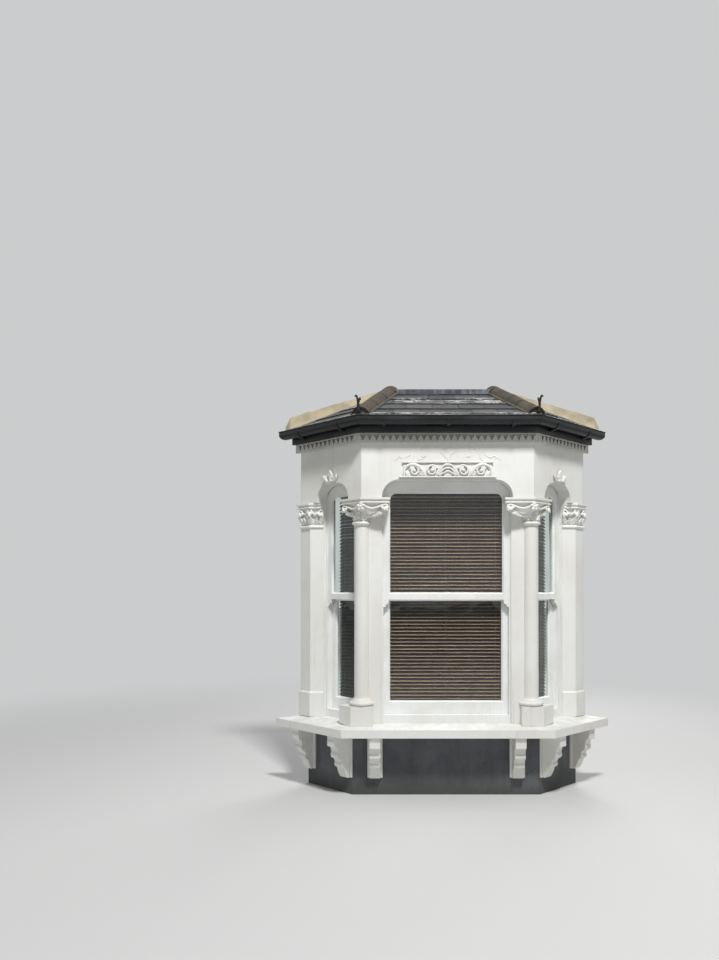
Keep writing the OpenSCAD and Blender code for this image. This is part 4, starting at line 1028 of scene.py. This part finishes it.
def add_frieze_relief():
    """Shallow incised stems and leaf sprigs above the panel, drawn in millimetres."""
    strokes = (
        ((0, 12), (-14, 40), (-42, 70), (-78, 82)),
        ((0, 12), (12, 40), (40, 70), (82, 82)),
        ((-430, 12), (-398, 26), (-382, 47), (-366, 34), (-350, 30)),
        ((-340, 32), (-310, 50), (-280, 76)),
        ((-212, 52), (-192, 44), (-160, 52)),
        ((-240, 10), (-205, 26), (-178, 40)),
        ((56, 104), (120, 112), (190, 110), (226, 98), (250, 58)),
        ((142, 46), (166, 44), (188, 52)),
        ((270, 74), (300, 60), (338, 36), (366, 50), (392, 34), (424, 12)),
        ((-70, 108), (-140, 114), (-215, 100)),
        ((290, 12), (262, 30), (252, 52)),
    )
    relief = bmesh.new()
    foot = PANEL_Z + PANEL_H + 0.008
    for stroke in strokes:
        line = along([(x / 1000, 0, foot + z / 1000) for x, z in stroke])
        tube(relief, line, lambda t: 0.0008 + 0.0042 * sin(pi * t), depth=0.8, sides=8)
    add_piece("frieze_relief", mesh_of(relief, face_frame(0), smooth=True), "white_masonry")


# Roof covering

def slope_frame(foot, along_eaves, top):
    """Frame of a slope: x along its eaves, y up it, z off its surface."""
    x = (along_eaves - foot).normalized()
    y = ((top - foot) - x * (top - foot).dot(x)).normalized()
    return axes_at(foot, x, y, x.cross(y))


def clip(bm, point, normal):
    """Cuts off what lies on the side of a plane that its normal shows, and closes the cut."""
    geometry = bm.verts[:] + bm.edges[:] + bm.faces[:]
    cut = bmesh.ops.bisect_plane(
        bm, geom=geometry, plane_co=point, plane_no=normal, clear_outer=True)
    edges = [e for e in cut["geom_cut"] if isinstance(e, bmesh.types.BMEdge)]
    bmesh.ops.edgenet_fill(bm, edges=edges)


def slate(bm, x, tail, width, length, lift, rng):
    """A riven slate with a ragged tail, its head tucked under the next course."""
    turn = radians(rng.gauss(0, 0.35))
    chip = [rng.choice((0, 0, 0, 0.010, 0.018)) * rng.random() for _ in range(2)]
    outline = []
    for a in shares(7):
        rag = rng.uniform(0, 0.0030)
        if a in (0, 1):
            rag += chip[a == 0]
        outline.append((a * width, rag))
    outline += [(width, length), (0, length)]
    faces = []
    for drop in (0, SLATE_T):
        ring = []
        for a, b in outline:
            slope = lift - (lift + SLATE_FALL) * b / length
            px, py = a * cos(turn) - b * sin(turn), a * sin(turn) + b * cos(turn)
            ring.append(bm.verts.new((x + px, tail + py, slope - drop)))
        faces.append(ring)
    top, under = faces
    for k in range(len(top)):
        bm.faces.new((under[k - 1], under[k], top[k], top[k - 1]))
    bm.faces.new(top)
    bm.faces.new(under[::-1])


def add_slope(name, place, width, length, planes, seed):
    """Boards, underlay, an under course at the eaves and courses of slates, cut to planes."""
    rng = random.Random(seed)
    laid, boards = bmesh.new(), bmesh.new()
    courses = ceil(length / SLATE_GAUGE)
    for row in range(-1, courses):
        tail = max(row, 0) * SLATE_GAUGE
        lift, long = SLATE_LIFT, SLATE_GAUGE + SLATE_LAP
        if row < 0:
            lift, long = UNDER_LIFT, SLATE_GAUGE * 0.9
        x = -SLATE_W * (0.5 + 0.5 * (row % 2)) - 0.03
        while x < width + 0.1:
            wide = SLATE_W + rng.uniform(-0.006, 0.006)
            foot = tail - rng.uniform(0, 0.003)
            slate(laid, x, foot, wide - GAP, long, lift + rng.uniform(0, 0.0015), rng)
            x += wide
    y, left, right = BOARD_FOOT, -BOARD_SPARE, width + BOARD_SPARE
    block(laid, (left, y, UNDERLAY_Z - UNDERLAY_T), (right, length, UNDERLAY_Z))
    while y < length:
        wide = min(BOARD_W + rng.uniform(-0.01, 0.01), length - y)
        block(boards, (left, y, -SLATE_ROOM), (right, y + wide - GAP, BOARD_Z))
        y += wide
    for bm, slot, part in ((laid, "slate", "slates_"), (boards, "raw_timber", "boards_")):
        bm.transform(place)
        for plane in planes:
            clip(bm, *plane)
        mesh = mesh_of(bm)
        add_piece(part + name, mirrored(mesh) if name == "left" else mesh, slot, ["roof_" + name])


def add_roof():
    hip_foot = farthest("roof_front", 1, -1, 1)
    ridge = farthest("roof_front", 0.1, 1, 1)
    wall_foot = farthest("roof_right", 1, 1, 0.1)
    left_foot = MIRROR @ hip_foot
    hip_side = Vector((ridge.y - hip_foot.y, hip_foot.x - ridge.x, 0)).normalized()
    front = slope_frame(left_foot, hip_foot, ridge)
    add_slope("front", front, 2 * hip_foot.x, (front.inverted() @ ridge).y,
              [(hip_foot, hip_side), (left_foot, MIRROR @ hip_side), WALL], 11)
    side = slope_frame(hip_foot, wall_foot, ridge)
    for name, seed in (("right", 12), ("left", 13)):
        add_slope(name, side, (wall_foot - hip_foot).length, (side.inverted() @ ridge).y,
                  [(hip_foot, -hip_side), WALL], seed)
    add_hips(hip_foot, ridge, front, side)
    add_fillets(side)


def add_fillets(side):
    """Mortar fillets where the side slopes meet the house wall, floated by hand."""
    rng = random.Random(31)
    normal, foot = side.col[2].xyz, side.translation
    waves = [(rng.uniform(9, 90), rng.uniform(0, 6.3), rng.uniform(0.2, 1)) for _ in range(10)]
    start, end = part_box("cement_fillets")[1].x - 0.002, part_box("roof_right")[0].x + 0.05
    section = ((0, 0, -0.004), (1, 0, -0.004), (1, 0, 0.005), (0.72, 0.22, 0), (0.42, 0.56, 0),
               (0.17, 0.90, 0), (0.09, 1, 0), (0, 1, 0))
    rings = []
    fillet = bmesh.new()
    for t in shares(110):
        x = start + (end - start) * t
        sway, rag = (sum(size * sin(pace * x + phase + turn) for pace, phase, size in waves) / 4
                     for turn in (0, 2))
        taper = min(1, 0.3 + (start - x) / 0.06)
        deep = taper * (FILLET_D - 0.005 + 0.005 * sway)
        high = taper * (FILLET_H + (FILLET_HEAD - FILLET_H) * t - 0.005 + 0.005 * rag)
        ring = []
        for a, b, off in section:
            y = WALL_Y - deep * a
            z = foot.z - (normal.x * (x - foot.x) + normal.y * (y - foot.y)) / normal.z
            ring.append((x, y, z + b * high + off))
        rings.append(ring)
    skin(fillet, rings)
    add_pairs("cement", ("fillet_{}", mesh_of(fillet), "cement_fillets"))


def hip_round(bm, place, start, end, outer, inner, spans, wobble=0.0, rng=None):
    """Part of a pipe along y of a place, open below; spans are its angles each side of z."""
    arc = 22
    rings = []
    for i in range(6):
        y = start + (end - start) * i / 5
        swell = rng.uniform(-wobble, wobble) if rng else 0
        ring = []
        for radius, order in ((outer, range(arc + 1)), (inner, range(arc, -1, -1))):
            for k in order:
                a = -spans[0] + (spans[0] + spans[1]) * k / arc
                r = radius + swell
                ring.append(place @ Vector((r * sin(a), y, r * cos(a))))
        rings.append(ring)
    skin(bm, rings)


def add_hips(hip_foot, ridge, front, side):
    """Half round tiles up each hip, the mortar that beds them, and the iron at their foot."""
    rng = random.Random(21)
    way = (ridge - hip_foot).normalized()
    right = way.cross(UP).normalized()
    up = right.cross(way)
    axis = axes_at(hip_foot - HIP_SINK * up, right, way, up)
    tiles, bed = bmesh.new(), bmesh.new()
    spans = []
    for slope, turn in ((front, 1), (side, -1)):
        normal = slope.col[2].xyz
        across = way.cross(normal).normalized() * -turn
        along_up = HIP_SINK * across.dot(up)
        reach = sqrt(along_up ** 2 + HIP_R ** 2 - HIP_SINK ** 2) - along_up
        edge = across * reach + HIP_SINK * up
        spans.append(acos(edge.dot(up) / edge.length))
        line, steps = [], 46
        for k in range(steps + 1):
            spot = hip_foot.lerp(ridge, 0.07 + 0.90 * k / steps)
            line.append(spot + across * (reach + rng.uniform(-0.003, 0.004)) + normal * 0.001)
        radii = [rng.uniform(0.007, 0.012) for _ in line]
        tube(bed, line, lambda t: radii[round(t * steps)], sides=9, out=normal)
    if front.col[2].xyz.dot(right) > 0:
        spans.reverse()
    length = (ridge - hip_foot).length + HIP_SPARE
    hip_round(bed, axis, HIP_START + 0.004, length, HIP_R - HIP_T + 0.002, 0.02, spans)
    for k in range(ceil((length - HIP_START) / HIP_LEN)):
        tilt = turned_by(rng.gauss(0, 0.35), "X")
        laid = axis @ at(rng.uniform(-0.0012, 0.0012), HIP_START + k * HIP_LEN, 0) @ tilt
        hip_round(tiles, laid, 0, HIP_LEN - HIP_JOINT, HIP_R, HIP_R - HIP_T, spans, 0.0009, rng)
    bevelled(tiles, 0.0025, limit=60)
    for bm in (tiles, bed):
        clip(bm, *WALL)
    add_pairs("clay", ("hip_tiles_{}", mesh_of(tiles), "hip_tiles"))
    add_pairs("cement", ("hip_mortar_{}", mesh_of(bed, smooth=True), None), finish=BEDDING)
    add_pairs("cast_iron", ("hip_iron_{}", hip_iron(hip_foot, way), "hip_irons"))


def add_gutter_lip(radius=0.0055):
    """Rolled bead along the outer edge of the gutters."""
    end = farthest("gutter_right", 1, 0.01, 0.01)
    corner = farthest("gutter_front", 0.38, -0.92, 0.01)
    lip = bmesh.new()
    line = []
    for a, b in ((end, corner), (corner, MIRROR @ corner), (MIRROR @ corner, MIRROR @ end)):
        line += [a.lerp(b, k / 12) for k in range(12)]
    line.append(MIRROR @ end)
    tube(lip, [point - radius * UP for point in line], lambda t: radius, out=UP)
    clip(lip, *WALL)
    add_piece("gutter_lip", mesh_of(lip, smooth=True), "cast_iron")


def hip_iron(hip_foot, way):
    """Wrought strap that comes down the hip, turns up before the tiles and ends in two tails."""
    iron = bmesh.new()
    plan = Vector((way.x, way.y, 0)).normalized()
    place = axes_at(hip_foot, plan.cross(UP), plan, UP)
    rise = way.z / hypot(way.x, way.y)
    height = (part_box("hip_irons")[1].z - hip_foot.z) / 1.13
    strap = along([(0, 0.080, 0.080 * rise + 0.004), (0, 0.040, 0.040 * rise + 0.004),
                   (0, 0.014, 0.014 * rise + 0.005), (0, 0.004, 0.014), (0, 0.001, 0.034),
                   (0.001, 0, 0.58 * height), (0, -0.002, 0.76 * height)])
    tube(iron, strap, lambda t: 0.0165 - 0.006 * t, depth=0.42)
    for thick, *tail in (
            (0.0090, (-0.006, -0.004, 0.80), (-0.014, -0.008, 0.92), (-0.020, -0.014, 0.93),
             (-0.022, -0.017, 0.86), (-0.017, -0.016, 0.82)),
            (0.0085, (0.004, -0.004, 0.84), (0.007, -0.008, 1.02), (0.011, -0.013, 1.12),
             (0.017, -0.016, 1.11), (0.018, -0.017, 1.05))):
        line = along([(x, y, z * height) for x, y, z in [(0, -0.002, 0.66)] + tail])
        tube(iron, line, lambda t: thick * (1.1 - 0.35 * t), depth=0.8)
    ball(iron, (0, 0.024, 0.024 * rise + 0.008), 0.006, (1, 1, 0.6))
    return mesh_of(iron, place, smooth=True)


# Putty of the windows' lights

def light_outline(width, low, high, corner=0.0, steps=8):
    """Outline of a light as (x, z) points, anticlockwise, its top corners rounded."""
    half = width / 2
    points = [(-half, low), (half, low)]
    if not corner:
        return points + [(half, high), (-half, high)]
    for centre, start in ((half - corner, 0), (corner - half, 90)):
        for i in range(steps + 1):
            a = radians(start + 90 * i / steps)
            points.append((centre + corner * cos(a), high - corner + corner * sin(a)))
    return points


def bead(bm, outline, section):
    """A moulding round the inside of an outline. section gives (inwards, y) points."""
    points = [Vector(p) for p in outline]
    rings = []
    for before, here, after in zip(points[-1:] + points, points, points[1:] + points[:1]):
        d, e = (here - before).normalized(), (after - here).normalized()
        n, m = Vector((-d.y, d.x)), Vector((-e.y, e.x))
        inward = (n + m) / (1 + n.dot(m))
        rings.append([(here.x + inward.x * a, y, here.y + inward.y * a) for a, y in section])
    skin(bm, rings, 0)


def add_putty():
    """Putty between the sashes and their panes, seen from outside."""
    lower_z = SILL_Z + BOX_SILL + BOTTOM_RAIL
    meeting = SILL_Z + MEETING_H
    upper_z = HEAD_Z + SASH_GAP - TOP_RAIL
    for side, name in ((0, "front"), (-1, "left"), (1, "right")):
        width = (SIDE_OPEN_W if side else FRONT_OPEN_W) - 2 * (BOX_LINING + STILE_W)
        putty = bmesh.new()
        for outline, face in (
            (light_outline(width, meeting + MEETING_RAIL / 2, upper_z, GLASS_CORNER), UPPER_FACE),
            (light_outline(width, lower_z, meeting - MEETING_RAIL / 2), LOWER_FACE),
        ):
            glass = face + SASH_T / 2 - GLASS_T / 2
            section = [(0, face + 0.002), (0.003, face + 0.0025), (0.012, glass), (0, glass)]
            bead(putty, outline, section)
        add_piece("putty_" + name, mesh_of(putty, window_frame(side)), "white_joinery")


# Blinds

def add_blind(name, place, width, ladders, seed, finish=None):
    """Venetian blind, its slats turned down, on ladder cords that hang a little uneven."""
    rng = random.Random(seed)
    low = SILL_Z + BOX_SILL + 0.024
    top = HEAD_Z + 0.018
    wood = bmesh.new()
    count = int((top - HEAD_RAIL - low) / SLAT_PITCH)
    for i in range(count):
        z = low + (i + 0.55) * SLAT_PITCH
        tilt = SLAT_TILT + radians(rng.gauss(0, 1.2))
        slat(wood, width - rng.uniform(0, 0.002), BLIND_Y, z, tilt)
    rails = (0.014, low + count * SLAT_PITCH + 0.004, top), (0.010, low - 0.012, low)
    for front, foot, head in rails:
        block(wood, (-width / 2, BLIND_Y - front, foot), (width / 2, BLIND_Y + 0.010, head))
    bevelled(wood, 0.0012)
    add_piece(name, mesh_of(wood, place), "blind_wood", ["blinds"], finish)
    cords = bmesh.new()
    reach = 0.5 * SLAT_W * cos(SLAT_TILT) + 0.0022
    for x in ladders:
        for y in (BLIND_Y - reach, BLIND_Y + reach):
            line = [Vector((x + 0.0006 * sin(37 * k), y, low + (top - 0.02 - low) * k / 40))
                    for k in range(41)]
            tube(cords, line, lambda t: CORD_R, sides=6)
    add_piece(name + "_cords", mesh_of(cords, place, smooth=True), "blind_wood", finish=CORD)


def slat(bm, width, y, z, tilt, thick=0.0028, crown=0.0016):
    """One slat across, its outer edge turned down; depth is 0 there and 1 at the inner edge."""
    depth = bm.verts.layers.float.get("depth") or bm.verts.layers.float.new("depth")
    outline = []
    for side in (1, -1):
        for i in range(6):
            s = side * (2 * i / 5 - 1)
            outline.append((s * SLAT_W / 2, crown * (1 - s * s) + side * thick / 2))
    c, s = cos(tilt), sin(tilt)
    for end in skin(bm, [[(x, y + a * c - b * s, z + a * s + b * c) for a, b in outline]
                         for x in (-width / 2, width / 2)]):
        for vert, (a, b) in zip(end, outline):
            vert[depth] = 0.5 + a / SLAT_W


def add_blinds():
    front_w = FRONT_OPEN_W - 2 * BOX_LINING - BLIND_PLAY
    side_w = SIDE_OPEN_W - 2 * BLIND_SHIFT - 2 * BOX_LINING - BLIND_PLAY
    add_blind("blind_front", window_frame(0), front_w, (-0.45, 0.0, 0.41), 3)
    for name, side, seed in (("blind_left", -1, 5), ("blind_right", 1, 7)):
        place = window_frame(side) @ at(-BLIND_SHIFT, 0, 0)
        add_blind(name, place, side_w, (-0.09, 0.09), seed, SIDE_SLATS_IN_PAINTED_SHADE)


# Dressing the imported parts

slots = {part["node"]: part["material_slot"] for part in frame["record"]["subparts"]}
for node_name, node in nodes.items():
    for material_slot in node.material_slots:
        material_slot.material = FINISHES[slots[node_name]]

add_camera()
add_world()
add_floor()
add_lamp("key", place=(0.7, -5.2, 9.5), target=(0, 0, 1.7), size=(1.3, 1.1), power=870)
add_lamp("rear", place=(2.5, 7.5, 5.5), target=(0, 0.2, 1.6), size=(5, 3), power=320)
add_column_capitals()
add_wall_capitals()
add_carved_panel()
add_side_bosses()
add_frieze_relief()
add_roof()
add_gutter_lip()
add_putty()
add_blinds()

bpy.context.scene.view_settings.view_transform = "Standard"
